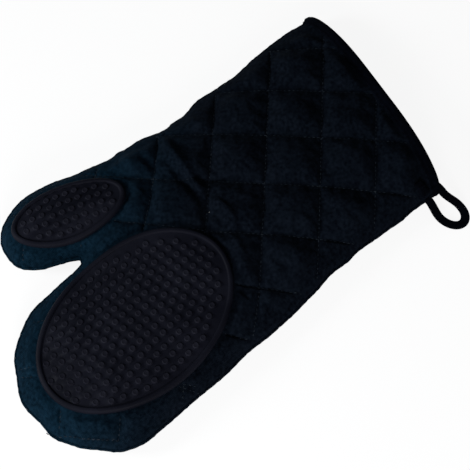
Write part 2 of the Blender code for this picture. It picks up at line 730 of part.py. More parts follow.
def pad_solid(name, pad, material):
    """A moulded pad: an even plate with a raised rim and rows of low round dots."""

    def seat(points):
        return PALM.face(points, 5) + PAD_SEAT_GAP

    rim = [(PAD_RIM_WIDTH * way, PAD_RIM_HEIGHT * height) for way, height in PAD_RIM_SHARES]
    rim.append((PAD_RIM_WIDTH, PAD_PLATE))
    points, faces = [], []
    bottom_ring = pad.oval(0, PAD_SEGMENTS)
    points += [(*p, z) for p, z in zip(bottom_ring, seat(bottom_ring))]
    for inset, height in rim:
        ring = pad.oval(inset, PAD_SEGMENTS)
        points += [(*p, z + height) for p, z in zip(ring, seat(ring))]
    for band in range(len(rim)):
        for i in range(PAD_SEGMENTS):
            j = (i + 1) % PAD_SEGMENTS
            low, high = band * PAD_SEGMENTS, (band + 1) * PAD_SEGMENTS
            faces.append([low + i, low + j, high + j, high + i])

    plate = Plan()
    foot = [plate.add(point) for point in pad.oval(PAD_RIM_WIDTH, PAD_SEGMENTS)]
    plate.chain(foot, closed=True)
    dots = pad.dots()
    corner_angles = pad.rows_turn + 2 * math.pi * np.arange(DOT_SIDES) / DOT_SIDES
    spokes = np.column_stack([np.cos(corner_angles), np.sin(corner_angles)])
    for centre in dots:
        corners = [plate.add(centre + DOT_RADIUS * spoke) for spoke in spokes]
        plate.chain(corners, closed=True)
    plan_points = np.array(plate.points)
    first = len(points)
    plate_z = seat(plan_points) + PAD_PLATE
    points += [(*p, z) for p, z in zip(plan_points, plate_z)]
    last_band = len(rim) * PAD_SEGMENTS
    foot_count = len(foot)

    def numbered(i):
        return last_band + i if i < foot_count else first + i

    for triangle in plate.triangles(foot):
        dot_numbers = {(i - foot_count) // DOT_SIDES for i in triangle if i >= foot_count}
        whole = all(i >= foot_count for i in triangle) and len(dot_numbers) == 1
        if not whole:
            faces.append([numbered(i) for i in triangle])
    for k, centre in enumerate(dots):
        base = [numbered(foot_count + DOT_SIDES * k + i) for i in range(DOT_SIDES)]
        tops = centre + DOT_TOP_RADIUS * spokes
        height = seat(centre)[0] + PAD_PLATE + DOT_HEIGHT
        start = len(points)
        points += [(*p, height) for p in tops]
        top = list(range(start, start + DOT_SIDES))
        for i in range(DOT_SIDES):
            j = (i + 1) % DOT_SIDES
            faces.append([base[i], base[j], top[j], top[i]])
        faces.append(top)

    under = Plan()
    ring = [under.add(point) for point in bottom_ring]
    under.chain(ring, closed=True)
    for share in UNDERSIDE_RING_SHARES:
        inner_ring = pad.oval(0, round(PAD_SEGMENTS * share / 2))
        for point in pad.centre + (inner_ring - pad.centre) * share:
            under.add(point)
    under.add(pad.centre)
    under_points = np.array(under.points)
    first_under = len(points)
    points += [(*p, z) for p, z in zip(under_points, seat(under_points))]
    for triangle in under.triangles(ring):
        corners = [i if i < PAD_SEGMENTS else first_under + i for i in triangle]
        faces.append(corners[::-1])
    return mesh_object(name, points, faces, material)


ROOT_X = LEFT_X - GAP - BINDING_THICKNESS - LOOP_ROOT_GAP
LOOP_Y = cuff_edge(LEFT_X) + LOOP_CUFF_OFFSET
LOOP_SPAN = LOOP_LEG + LOOP_REACH


def loop_path():
    """The middle line of the loop's tape: out along one leg, round the end and back."""
    legs = np.arange(LOOP_LEG_STEPS) / LOOP_LEG_STEPS
    turn = math.pi * np.arange(LOOP_TURN_STEPS + 1) / LOOP_TURN_STEPS
    widening = LOOP_HALF_SPREAD - LOOP_ROOT_HALF_SPREAD
    out = np.column_stack([legs * LOOP_LEG, LOOP_ROOT_HALF_SPREAD + widening * smooth_step(legs)])
    bend = np.column_stack([LOOP_LEG + LOOP_REACH * np.sin(turn), LOOP_HALF_SPREAD * np.cos(turn)])
    back = out[::-1] * (1, -1)
    flat = np.vstack([out, bend, back])
    fall = SEAM_HEIGHT - LOOP_FLOOR_GAP - TAPE_THICKNESS * HALF
    height = SEAM_HEIGHT - fall * smooth_step(HALF + flat[:, 0] / LOOP_SPAN / 2) * 2 + fall
    sway = LOOP_SWAY * smooth_step(flat[:, 0] / LOOP_SPAN)
    return np.column_stack([ROOT_X - flat[:, 0], LOOP_Y - sway - flat[:, 1], height])


def sweep_tape(name, path, widthwise, material):
    """A flat tape along a path, with softened edges and closed ends."""
    half_width, half_depth = TAPE_WIDTH / 2, TAPE_THICKNESS / 2
    edge = half_width - half_depth
    section = [(-half_width, 0), (-edge, -half_depth), (edge, -half_depth),
               (half_width, 0), (edge, half_depth), (-edge, half_depth)]
    run = np.gradient(path, axis=0)
    run /= np.linalg.norm(run, axis=1)[:, None]
    points = []
    for place, along, wide in zip(path, run, widthwise):
        normal = np.cross(along, wide)
        normal /= np.linalg.norm(normal)
        wide = np.cross(normal, along)
        points += [tuple(place + a * wide + b * normal) for a, b in section]
    count = len(section)
    faces = [list(range(count))]
    for i in range(len(path) - 1):
        for k in range(count):
            j = (k + 1) % count
            faces.append([i * count + j, i * count + k, (i + 1) * count + k, (i + 1) * count + j])
    last = (len(path) - 1) * count
    faces.append([last + k for k in reversed(range(count))])
    return mesh_object(name, points, faces, material)


def hanging_loop(material):
    """The loop that the mitt hangs by. Its origin lies on the line where it is sewn on."""
    path = loop_path()
    run = np.gradient(path, axis=0)
    wide = np.column_stack([-run[:, 1], run[:, 0], np.zeros(len(path))])
    loop = sweep_tape("hanging_loop", path, wide, material)
    hinge = Vector((ROOT_X, LOOP_Y, SEAM_HEIGHT))
    for vertex in loop.data.vertices:
        vertex.co -= hinge
    loop.location = hinge
    return loop


def cover_patch(name, across, along, seat_gap, thickness, material):
    """A thin patch that follows the palm cover, given by its places across and along."""
    grid = np.array([(x, y) for y in along for x in across])
    low = PALM.face(grid, 5) + seat_gap
    columns, rows = len(across), len(along)
    quads = [[r * columns + c, r * columns + c + 1, (r + 1) * columns + c + 1, (r + 1) * columns + c]
             for r in range(rows - 1) for c in range(columns - 1)]
    loop = list(range(columns))
    loop += [r * columns + columns - 1 for r in range(1, rows)]
    loop += [(rows - 1) * columns + c for c in reversed(range(columns - 1))]
    loop += [r * columns for r in reversed(range(1, rows - 1))]
    upper = np.column_stack([grid, low + thickness])
    lower = np.column_stack([grid, low])
    return slab(name, upper, lower, quads, quads, loop[::-1], material)


def loop_end(tape_material, thread_material):
    """The loop's tape end, folded on to the palm side and fixed with a dense bar of stitches."""
    middle = LOOP_Y + LOOP_ROOT_HALF_SPREAD
    start = LEFT_X + SEAM_INSET
    across = np.linspace(start, start + TAB_LENGTH, TAB_STATIONS[0])
    along = np.linspace(middle - TAPE_WIDTH / 2, middle + TAPE_WIDTH / 2, TAB_STATIONS[1])
    cover_patch("loop_end_tab", across, along, TAB_SEAT_GAP, TAPE_THICKNESS, tape_material)
    tack_x = start + TAB_LENGTH * HALF
    across = np.linspace(tack_x - TACK_WIDTH / 2, tack_x + TACK_WIDTH / 2, TACK_STATIONS[0])
    along = np.linspace(middle - TACK_LENGTH / 2, middle + TACK_LENGTH / 2, TACK_STATIONS[1])
    over = TAB_SEAT_GAP + TAPE_THICKNESS + GAP
    cover_patch("loop_bar_tack", across, along, over, TACK_HEIGHT, thread_material)


def centre_over_origin():
    """Hang every piece on one empty, placed so that the mitt stands centred on the origin."""
    bpy.context.view_layer.update()
    pieces = [obj for obj in bpy.data.objects if obj.type == "MESH"]
    corners = np.array([obj.matrix_world @ vertex.co for obj in pieces for vertex in obj.data.vertices])
    low, high = corners.min(0), corners.max(0)
    centre = bpy.data.objects.new("mitt", None)
    bpy.context.collection.objects.link(centre)
    centre.location = (-(low[0] + high[0]) / 2, -(low[1] + high[1]) / 2, -low[2])
    for obj in pieces:
        obj.parent = centre


def main():
    """Clear the scene and build the mitt."""
    for old in list(bpy.data.objects):
        bpy.data.objects.remove(old, do_unlink=True)
    cotton = make_material("black_cotton", (0.006, 0.009, 0.013), 0.9)
    wadding = make_material("wadding", (0.55, 0.53, 0.48), 1.0)
    lining = make_material("lining_cotton", (0.012, 0.014, 0.018), 0.9)
    silicone = make_material("silicone", (0.014, 0.013, 0.016), 0.55)
    tape = make_material("binding_tape", (0.005, 0.006, 0.009), 0.85)
    thread = make_material("thread", (0.016, 0.018, 0.024), 0.8)
    palm_layers(cotton, wadding, lining)
    back_layers(cotton, wadding, lining)
    pad_solid("palm_pad", PALM_PAD, silicone)
    pad_solid("thumb_pad", THUMB_PAD, silicone)
    cuff_binding(tape)
    hanging_loop(tape)
    loop_end(tape, thread)
    centre_over_origin()


main()
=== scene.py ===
"""Looks of the quilted oven mitt: fine cloth, stitches, silicone pads, tape, light and camera."""
import math

import bmesh
import bpy
import numpy as np
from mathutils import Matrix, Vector
from mathutils.geometry import delaunay_2d_cdt


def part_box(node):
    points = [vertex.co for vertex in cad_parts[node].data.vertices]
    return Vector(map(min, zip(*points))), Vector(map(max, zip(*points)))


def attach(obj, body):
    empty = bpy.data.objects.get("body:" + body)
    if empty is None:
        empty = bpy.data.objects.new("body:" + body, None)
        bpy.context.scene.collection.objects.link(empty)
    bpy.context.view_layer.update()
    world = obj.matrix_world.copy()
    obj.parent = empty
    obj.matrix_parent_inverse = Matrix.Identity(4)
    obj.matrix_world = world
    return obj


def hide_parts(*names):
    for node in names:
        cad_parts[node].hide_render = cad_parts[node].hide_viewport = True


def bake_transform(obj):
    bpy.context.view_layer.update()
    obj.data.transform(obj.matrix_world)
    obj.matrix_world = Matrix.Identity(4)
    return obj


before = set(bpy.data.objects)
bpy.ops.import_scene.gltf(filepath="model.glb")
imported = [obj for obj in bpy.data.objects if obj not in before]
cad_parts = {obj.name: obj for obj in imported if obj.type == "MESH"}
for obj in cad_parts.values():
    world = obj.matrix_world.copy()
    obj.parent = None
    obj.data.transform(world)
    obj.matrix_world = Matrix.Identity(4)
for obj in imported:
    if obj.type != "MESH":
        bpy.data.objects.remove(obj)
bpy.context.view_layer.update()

RANDOM = np.random.default_rng(7)

# The mitt's sizes in metres, in its plan: X towards the thumb, Y from the cuff to the fingertips
GLOVE_LENGTH = 0.320
GLOVE_HALF_WIDTH = 0.080
CUFF_SLANT = 0.0315
CUFF_BOW = 0.0045
CUFF_LEVEL = -0.0015
SEAM_HEIGHT = 0.0100
PALM_RISE = 0.0120
PALM_DOME_REACH = 0.062
BACK_DOME_REACH = 0.030
PRESSED_FLAT = 0.0010
DOME_POWER = 0.75

GAP = 0.0003
COVER_THICKNESS = 0.0008
LINING_THICKNESS = 0.0006
WADDING_AT_STITCHES = 0.0006
WADDING_AT_CROWN = 0.0040
CROWN_SWELL = 0.0009
WADDING_UNDER_PAD = 0.0020
PALM_SEAM_INSET = 0.0012
PALM_SEAM_LIFT = 0.0004
PALM_EDGE_REACH = 0.0052
BACK_SEAM_INSET = 0.0022
BACK_EDGE_BLEND = 0.0080
LAYER_INSET = 0.0042
LEAST_STACK = 0.0002
LEAST_WADDING = 0.0001
WADDING_CLEARANCE = 0.0006
EDGE_FADE = 0.0120
CUFF_FADE = 0.0090
PAD_FADE = 0.0080
SEWN_CUFF_FADE = 0.0020
SEWN_EDGE_FADE = 0.0030
FOLD_FADE = 0.0020
FOLD_END_SHARE = 0.25
FOLD_STEPS = 8
PILLOW_FULLNESS = 3.0
SKIN_FULLNESS = 2.6
GROOVE_DEPTH = 0.00090
GROOVE_HALF_WIDTH = 0.00090
PUCKER_HEIGHT = 0.00034
PUCKER_REACH = 0.0055
STITCH_TUG = 0.35
BROAD_WAVE_HEIGHT = 0.00070
BROAD_WAVE_LENGTH = 0.045
CLOTH_WAVE_HEIGHT = 0.00028
CLOTH_WAVE_LENGTH = 0.012
FINE_WAVE_HEIGHT = 0.00010
FINE_WAVE_LENGTH = 0.0052
PUCKER_WAVE_LENGTH = 0.0062
RIPPLE = 0.00012

QUILT_PITCH = 0.0373
QUILT_ORIGIN = (-0.0002, 0.1065)
QUILT_EDGE_MARGIN = 0.0032
BACK_QUILT_SHIFT = 0.0060
PALM_QUILT_DRIFT = (0.20, 0.23)
DRIFT_START = 0.150
DRIFT_LENGTH = 0.080
DRIFT_ROUNDS = 8
QUILT_REACH = math.ceil(GLOVE_LENGTH / QUILT_PITCH)

BINDING_WIDTH = 0.0066
BINDING_THICKNESS = 0.0012
BINDING_SETBACK = 0.0050
CUFF_CORNER_RADIUS = 0.0170
CUFF_CORNER_INSET = 0.0080
CUFF_STEPS = 90
BINDING_STEPS = 420
BINDING_UNEVENNESS = 0.00025
# Insets of the palm cover's points as it turns down at a corner of the cuff
CORNER_INSETS = (0.0004, 0.0012, 0.0022, 0.0034, 0.0050)

PAD_PLATE = 0.0014
PAD_RIM_WIDTH = 0.0040
PAD_RIM_HEIGHT = 0.0027
PAD_SEAT_GAP = 0.0005
DOT_RADIUS = 0.0020
DOT_HEIGHT = 0.0008
DOT_FOOT_RADIUS = 1.12 * DOT_RADIUS
DOT_SIDES = 14
PAD_SEGMENTS = 220
PAD_GRID = 0.0034
PAD_GRID_REACH = 0.08
PAD_GRID_MARGIN = 0.0012
DOT_MARGIN = 0.0006
PAD_UNDER_RINGS = (0.01, 0.02, 0.03)
PAD_ANCHOR = (-0.01576, 0.23328)
PALM_PAD_CENTRE = (-0.0164, 0.2325)
PALM_PAD_HALF_SIZES = (0.0503, 0.0722)
THUMB_PAD_CENTRE = (0.0722, 0.2168)
THUMB_PAD_HALF_SIZES = (0.0214, 0.0400)
PALM_PAD_TURN = math.radians(3.0)
THUMB_PAD_TURN = math.radians(-18.7)
PALM_ROWS_TURN = math.radians(10.0)
THUMB_ROWS_TURN = math.radians(-17.5)
PALM_MIDDLES_TURN = math.radians(5.9)
# Dots in each row, counted from the fingertips down
PALM_ROWS = (4, 7, 9, 10, 11, 12, 12, 13, 13, 13, 13, 13, 13, 12, 11, 10, 10, 8, 6, 3)
THUMB_ROWS = (2, 4, 4, 5, 5, 5, 5, 4, 4, 3)
# Steps along a row and from row to row, and the lowest row's place from the pad's middle
PALM_DOT_PITCH = (0.00678, 0.00670)
THUMB_DOT_PITCH = (0.0066, 0.0066)
PALM_LOWEST_ROW = -0.0630
THUMB_LOWEST_ROW = -0.0289

TAPE_WIDTH = 0.0062
TAPE_THICKNESS = 0.0013
LOOP_LEG = 0.0125
LOOP_REACH = 0.0118
LOOP_HALF_SPREAD = 0.0084
LOOP_ROOT_HALF_SPREAD = 0.0060
LOOP_ROOT_GAP = 0.0009
LOOP_CUFF_OFFSET = 0.0068
LOOP_SWAY = 0.0030
LOOP_FLOOR_GAP = 0.0006
LOOP_ROOT_DEPTH = 0.0054
LOOP_ROOT_INSIDE = 0.0060
LOOP_ROOT_LIFT = 0.0006
TAB_INSET = 0.0020
TAB_LENGTH = 0.0090
TAB_SEAT_GAP = 0.0008
TACK_LENGTH = 0.0050
TACK_WIDTH = 0.0012
TACK_THICKNESS = 0.0005

LIGHT_ANGLE = math.radians(57)
CRUMPLE = 2.2
TONE_PLACES = (0.52, 0.98)
# Along x plus y: where the painted teal light on the fingertips and the thumb begins, and where it
# is full
PAINTED_LIGHT_START = 0.160
PAINTED_LIGHT_FULL = 0.290
FLOOR_HALF_SIZE = 3.0
FLOOR_DROP = 0.0002
SENSOR = 36
FOCAL_PIXELS = 1150
PICTURE_PIXELS = 470
CAMERA_AIM = (-0.006723, 0.139073, 0)
CAMERA_AZIMUTH = math.radians(228)
CAMERA_ELEVATION = math.radians(65)
CAMERA_DISTANCE = 0.782

STITCH_PITCH = 0.0030
STITCH_LENGTH = 0.0021
STITCH_RADIUS = 0.00024
STITCH_SIDES = 6
STITCH_LIFT = 0.6
STITCH_DIVE = 1.6
STITCH_SINK = (-0.6, 1.0)
STITCH_SHIFT = 0.2
STITCH_WANDER = 0.00008
STITCH_TURN = 0.06
# Along a stitch: the share of its length from its middle, and its share of the full radius
STITCH_STATIONS = ((-0.5, 0.2), (-0.42, 0.75), (-0.2, 1.0), (0.2, 1.0), (0.42, 0.75), (0.5, 0.2))

# The plan's reach, just outside the mitt
PLAN_HALF_WIDTH = 0.115
PLAN_LOW = -0.030
PLAN_HIGH = 0.330
PALM_FINENESS = 30
BACK_FINENESS = 18
INNER_FINENESS = 12
SETTLE_GRID = 12
SETTLE_LIMIT = 0.0022
SETTLE_FRAMES = 20
GRID_TOLERANCE = 0.02
# The cloth is held at less than this share of a grid step from a stitch line, and where
# near_edges or free is under these values
HELD_BY_STITCH = 0.3
HELD_BY_EDGE = 0.2
HELD_BY_PAD = 0.3
# Rows of points along the covers' edges, by their distance from the seam or the cuff
PALM_EDGE_RINGS = (0.0003, 0.0009, 0.0018, 0.0030, 0.0044)
PALM_CUFF_ROWS = (0.0016, 0.0033)
BACK_EDGE_RINGS = (0.0012, 0.0026)
BACK_CUFF_ROWS = (0.002,)
RING_TOLERANCE = 0.0001
# How strongly the palm's grid lines crowd towards the stitches
PALM_CROWDING = 0.5

OUTLINE_STEP = 0.0014
COARSE_OUTLINE_STEP = 0.0030
LOOP_LEG_STEPS = 10
LOOP_BEND_STEPS = 30
# The most points that are measured against a line in one go
POINTS_AT_ONCE = 4000

OUTLINE_SHARES = (
    (-0.966, 0.100), (-0.946, 0.200), (-0.940, 0.300), (-0.958, 0.450), (-0.984, 0.620),
    (-0.990, 0.780), (-0.955, 0.888), (-0.825, 0.942), (-0.600, 0.982), (-0.250, 1.000),
    (0.050, 0.985), (0.262, 0.944), (0.412, 0.890), (0.490, 0.819), (0.515, 0.750),
    (0.565, 0.717), (0.632, 0.742), (0.710, 0.796), (0.855, 0.832), (1.055, 0.833),
    (1.225, 0.800), (1.318, 0.734), (1.290, 0.662), (1.188, 0.580), (1.112, 0.484),
    (1.055, 0.390), (1.050, 0.266), (1.056, 0.125), (1.044, 0.030),
)
LEFT_X = -0.972 * GLOVE_HALF_WIDTH
RIGHT_X = 1.022 * GLOVE_HALF_WIDTH
CUFF_MIDDLE_X = (LEFT_X + RIGHT_X) / 2
CUFF_HALF_SPAN = (RIGHT_X - LEFT_X) / 2

# Folds that the photograph shows, each a line in the plan with its height and half width
FOLDS = (
    (((0.0438, 0.2014), (0.0425, 0.2120), (0.0407, 0.2225)), -0.0022, 0.0022),
    (((0.0800, 0.1315), (0.0550, 0.1374), (0.0339, 0.1414), (0.0190, 0.1425)), 0.0030, 0.0032),
    (((0.0640, 0.1440), (0.0377, 0.1455), (0.0172, 0.1475), (0.0021, 0.1561)), -0.0028, 0.0028),
    (((0.0190, 0.1425), (0.0038, 0.1394), (-0.0063, 0.1410), (-0.0150, 0.1460)), 0.0021, 0.0019),
    (((0.0120, 0.1500), (0.0020, 0.1465), (-0.0080, 0.1490)), -0.0014, 0.0018),
    (((0.0830, 0.1610), (0.0713, 0.1636), (0.0600, 0.1645)), 0.0011, 0.0022),
    (((0.0775, 0.1531), (0.0654, 0.1535), (0.0540, 0.1535)), -0.0013, 0.0026),
    (((0.0450, 0.1750), (0.0367, 0.1760), (0.0290, 0.1780)), -0.0009, 0.0018),
    (((-0.0090, 0.1495), (-0.0219, 0.1501), (-0.0326, 0.1554)), 0.0010, 0.0016),
    (((-0.0324, 0.1014), (-0.0435, 0.1001), (-0.0520, 0.1002)), -0.0010, 0.0020),
    (((-0.0440, 0.1700), (-0.0560, 0.1692)), -0.0010, 0.0018),
    (((-0.0424, 0.2097), (-0.0560, 0.2050)), -0.0009, 0.0018),
    (((-0.0226, 0.0338), (-0.0345, 0.0380), (-0.0456, 0.0452)), -0.0010, 0.0018),
    (((-0.0575, 0.2797), (-0.0705, 0.2896)), -0.0006, 0.0022),
    (((-0.0537, 0.0799), (-0.0698, 0.0753)), -0.0010, 0.0020),
    (((-0.0405, 0.1390), (-0.0582, 0.1365)), -0.0008, 0.0018),
    (((-0.0564, 0.1643), (-0.0700, 0.1687)), 0.0008, 0.0018),
    (((0.0640, 0.2450), (0.0520, 0.2380), (0.0410, 0.2310)), -0.0022, 0.0022),
    (((-0.0657, 0.2141), (-0.0762, 0.2095)), -0.0009, 0.0018),
)

# Rows of stitches beside the fingertip seam and at the side, off the quilt's lines
SEAM_ROWS = (
    ((-0.0334, 0.3189), (-0.0404, 0.3149), (-0.0463, 0.3102), (-0.0523, 0.3055),
     (-0.0585, 0.2995), (-0.0651, 0.2921)),
    ((0.0102, 0.3083), (0.0030, 0.3004)),
    ((-0.0655, 0.2419), (-0.0772, 0.2337)),
)
# Height and half width of the groove along each of them
SEAM_GROOVE = (-0.0010, 0.0016)

# How far the side stands out, in mm, at lengths in mm along it from the loop's corner
SIDE_PUFFS = (
    (0, 0.4), (14, 1.0), (27, 0.7), (37, 1.5), (52, 0.6), (77, -1.0), (84, -0.2), (99, -1.5),
    (118, 0.3), (139, 1.2), (155, 0.9), (178, -0.8), (198, 0.2), (224, -0.6), (250, 0.2),
    (263, 1.1), (277, 0.2), (295, -1.5), (310, -0.6), (324, 1.4), (337, -0.6), (354, 0.8),
    (371, -0.9), (387, 1.3), (402, 0.9), (418, 1.6), (436, -0.2), (448, 0), (462, -0.9),
    (467, 1.7), (478, 1.1), (488, -0.1), (504, -0.9), (523, -1.9), (537, -0.8), (548, -0.1),
    (571, 0.5), (590, 0.3), (609, -0.3), (618, 0.3), (637, -0.7), (644, 0.9), (649, 0.5),
    (661, 1.7), (682, -1.4), (688, -0.5), (696, -1.2), (713, 1.7), (732, -0.1), (746, -1.3),
    (757, -0.4), (765, 0.6), (790, 1.6), (804, 2.2), (816, 1.6),
)
PUFF_REACH = 0.0065
# Height, length and phase of the fine ripples along the side
SIDE_RIPPLES = ((0.00010, 0.0011, 0), (0.00008, 0.00062, 1))

# How the back's edge rolls up over the side: inset from the outline, lift from the seam
ROLL_PROFILE = (
    (0.0022, -0.0046), (0.0011, -0.0034), (0.0005, -0.0022), (0.0001, -0.0010), (0.0000, 0.0000),
    (0.0001, 0.0007), (0.0004, 0.0011), (0.0009, 0.0012), (0.0015, 0.0010),
)
ROLL_INNER_DROP = 0.0006

# Shares of the pad rim's width and height
RIM_SHARES = (
    (0, 0), (-0.025, 0.3), (0.05, 0.62), (0.14, 0.84), (0.27, 0.97), (0.42, 1), (0.58, 1),
    (0.72, 0.95), (0.82, 0.84), (0.88, 0.70),
)
# The rim's foot: shares of its width, and heights above the plate
RIM_FOOT = ((0.93, 0.0001), (1.04, 0))
# Shares of a dot's radius and height
DOT_SHARES = ((1.0, 0.25), (0.95, 0.72), (0.86, 0.97), (0.74, 1.0), (0.6, 0.84), (0.3, 0.80))

# One face of the loop's tape: shares of its half width and half thickness
TAPE_SHARES = (
    (-1, 0), (-0.96, 0.55), (-0.86, 0.95), (-0.72, 0.72), (-0.55, 1.0), (0, 1.08), (0.55, 1.0),
    (0.72, 0.72), (0.86, 0.95), (0.96, 0.55), (1, 0),
)

CLOTH_SETTINGS = {
    "quality": 6, "mass": 0.1, "tension_stiffness": 20, "compression_stiffness": 20,
    "shear_stiffness": 8, "bending_stiffness": 0.05, "vertex_group_mass": "held",
    "shrink_min": -0.06, "use_pressure": True, "uniform_pressure_force": 1.0,
}


def smooth_step(value):
    value = np.clip(value, 0, 1)
    return value * value * (3 - 2 * value)


def cuff_edge(x):
    across = (x - CUFF_MIDDLE_X) / CUFF_HALF_SPAN
    return CUFF_LEVEL - CUFF_SLANT * 0.5 * across - CUFF_BOW * (1 - across ** 4)


def cloth_edge(x):
    return cuff_edge(x) + BINDING_THICKNESS + GAP


def from_cuff(points):
    """How far each point lies from the cloth's edge at the cuff."""
    return points[:, 1] - cloth_edge(points[:, 0])


def with_height(points, heights):
    return np.column_stack([points, np.broadcast_to(heights, len(points))])


def circle(count):
    """Points of a unit circle."""
    angles = 2 * math.pi * np.arange(count) / count
    return np.column_stack([np.cos(angles), np.sin(angles)])


def run_lengths(line):
    return np.linalg.norm(np.diff(line, axis=0), axis=1)


def headings(line):
    """The direction of a line at each of its points."""
    run = np.gradient(line, axis=0)
    return run / np.linalg.norm(run, axis=1)[:, None]


def dense(line, step):
    """A line with points at even steps."""
    length = np.r_[0, np.cumsum(run_lengths(line))]
    places = np.linspace(0, length[-1], max(1, round(length[-1] / step)) + 1)
    return np.column_stack([np.interp(places, length, values) for values in line.T])


def catmull_rom(before, start, end, after, t):
    return 0.5 * (
        2 * start + (end - before) * t
        + (2 * before - 5 * start + 4 * end - after) * t ** 2
        + (3 * start - before - 3 * end + after) * t ** 3
    )


def side_outline(step):
    """The sewn outline from one cuff corner to the other, in short steps."""
    left = np.array([LEFT_X, cuff_edge(LEFT_X)])
    right = np.array([RIGHT_X, cuff_edge(RIGHT_X)])
    straight = np.array([0, 2 * BINDING_WIDTH])
    knots = [left, left + straight]
    knots += [np.array([x * GLOVE_HALF_WIDTH, y * GLOVE_LENGTH]) for x, y in OUTLINE_SHARES]
    knots += [right + straight, right]
    knots = [knots[0] - straight] + knots + [knots[-1] - straight]
    points = []
    for before, start, end, after in zip(knots, knots[1:], knots[2:], knots[3:]):
        steps = max(1, round(np.linalg.norm(end - start) / step))
        points += [catmull_rom(before, start, end, after, i / steps) for i in range(steps)]
    points.append(knots[-2])
    return np.array(points)


SIDE = side_outline(OUTLINE_STEP)
EXTENSION = np.array([0, GLOVE_LENGTH / 4])
COARSE_SIDE = side_outline(COARSE_OUTLINE_STEP)
SIDE_LINE = np.vstack([COARSE_SIDE[0] - EXTENSION, COARSE_SIDE, COARSE_SIDE[-1] - EXTENSION])


def line_distance(points, line):
    """Distance of each point from a line of straight pieces, and the share of the way along."""
    best, where = np.empty(len(points)), np.empty(len(points))
    start, run = line[:-1], np.diff(line, axis=0)
    for first in range(0, len(points), POINTS_AT_ONCE):
        part = points[first:first + POINTS_AT_ONCE]
        offset = part[:, None, :] - start[None]
        along = np.clip((offset * run).sum(-1) / (run * run).sum(-1), 0, 1)
        gaps = np.linalg.norm(offset - along[..., None] * run, axis=-1)
        nearest = gaps.argmin(1)
        rows = np.arange(len(part))
        best[first:first + POINTS_AT_ONCE] = gaps[rows, nearest]
        where[first:first + POINTS_AT_ONCE] = (nearest + along[rows, nearest]) / len(start)
    return best, where


def from_side(points):
    """How far each point lies from the sewn outline."""
    return line_distance(points, SIDE_LINE)[0]


def within(points, polygon):
    """Whether each point lies inside a closed polygon, by counting crossings."""
    inside = np.zeros(len(points), int)
    x, y = points[:, 0], points[:, 1]
    for start, end in zip(polygon, np.roll(polygon, -1, axis=0)):
        if start[1] != end[1]:
            spans = (start[1] > y) != (end[1] > y)
            crossing = start[0] + (y - start[1]) * (end[0] - start[0]) / (end[1] - start[1])
            inside += spans & (x < crossing)
    return inside % 2 == 1


def inset_outline(line, inset):
    """An outline moved inwards, with its ends on the cloth's cuff edge."""
    run = headings(line)
    moved = line + inset * np.column_stack([run[:, 1], -run[:, 0]])
    for end in (0, -1):
        moved[end, 1] = cloth_edge(moved[end, 0])
    return moved


SIDE_RUN = run_lengths(SIDE_LINE)
SIDE_LENGTHS = np.r_[0, np.cumsum(SIDE_RUN)] - SIDE_RUN[0]
SIDE_WAY = headings(SIDE_LINE)


def puffed(points):
    """Places moved with the puffs and dips of the sewn side, which fade inwards."""
    off, where = line_distance(points[:, :2], SIDE_LINE)
    index = np.arange(len(SIDE_LINE))
    at = where * index[-1]
    length = np.interp(at, index, SIDE_LENGTHS)
    nearest, way = (np.column_stack([np.interp(at, index, values) for values in line.T])
                    for line in (SIDE_LINE, SIDE_WAY))
    outward = np.column_stack([-way[:, 1], way[:, 0]])
    off = np.where(((points[:, :2] - nearest) * outward).sum(1) > 0, 0, off)
    knots = np.array(SIDE_PUFFS) / 1000
    knot = np.clip(np.searchsorted(knots[:, 0], length) - 1, 0, len(knots) - 2)
    start, end = knots[knot], knots[knot + 1]
    share = smooth_step((length - start[:, 0]) / (end[:, 0] - start[:, 0]))
    out = start[:, 1] + (end[:, 1] - start[:, 1]) * share
    for height, reach, phase in SIDE_RIPPLES:
        out += height * np.sin(length / reach + phase)
    out *= 1 - smooth_step(off / PUFF_REACH)
    moved = points.copy()
    moved[:, :2] += outward * out[:, None]
    return moved


class Waves:
    """Smooth uneven waves over the plan, made of a few sines of one rough length."""

    def __init__(self, length, count=14):
        angle = RANDOM.uniform(0, 2 * math.pi, count)
        spread = 2 * math.pi / length * RANDOM.uniform(0.7, 1.4, count)
        self.pull = np.stack([np.cos(angle) * spread, np.sin(angle) * spread])
        self.phase = RANDOM.uniform(0, 2 * math.pi, count)

    def __call__(self, points):
        return np.sin(points @ self.pull + self.phase).mean(1) * 2


class Pad:
    """An oval silicone pad: where it lies, how it is turned, and its rows of dots."""

    def __init__(self, centre, half_sizes, turn, rows_turn, middles_turn, rows, pitch, lowest):
        self.centre = np.array(centre)
        self.half_width, self.half_length = half_sizes
        self.turn = turn
        self.rows_turn = rows_turn
        self.middles_turn = middles_turn
        self.rows = rows
        self.pitch = pitch
        self.lowest = lowest

    def placed(self, across, along, turn):
        cos, sin = math.cos(turn), math.sin(turn)
        x = self.centre[0] + cos * across - sin * along
        y = self.centre[1] + sin * across + cos * along
        return np.column_stack([x, y])

    def oval(self, inset):
        across, along = circle(PAD_SEGMENTS).T
        return self.placed((self.half_width - inset) * across,
                           (self.half_length - inset) * along, self.turn)

    def dots(self):
        """Rows of dots, each centred on a line through the pad's middle."""
        centres = []
        slant = math.cos(self.rows_turn - self.middles_turn)
        for row, count in enumerate(self.rows[::-1]):
            across = (np.arange(count) - (count - 1) / 2) * self.pitch[0]
            spread = self.placed(across, 0, self.rows_turn) - self.centre
            along = (self.lowest + row * self.pitch[1]) / slant
            centres.append(spread + self.placed(0, along, self.middles_turn))
        return np.vstack(centres)

    def outside(self, points):
        offset = points - self.centre
        cos, sin = math.cos(self.turn), math.sin(self.turn)
        across = cos * offset[:, 0] + sin * offset[:, 1]
        along = -sin * offset[:, 0] + cos * offset[:, 1]
        reach = np.hypot(across, along)
        share = np.hypot(across / self.half_width, along / self.half_length)
        return np.where(share < 1e-7, -self.half_width, reach - reach / np.maximum(share, 1e-7))


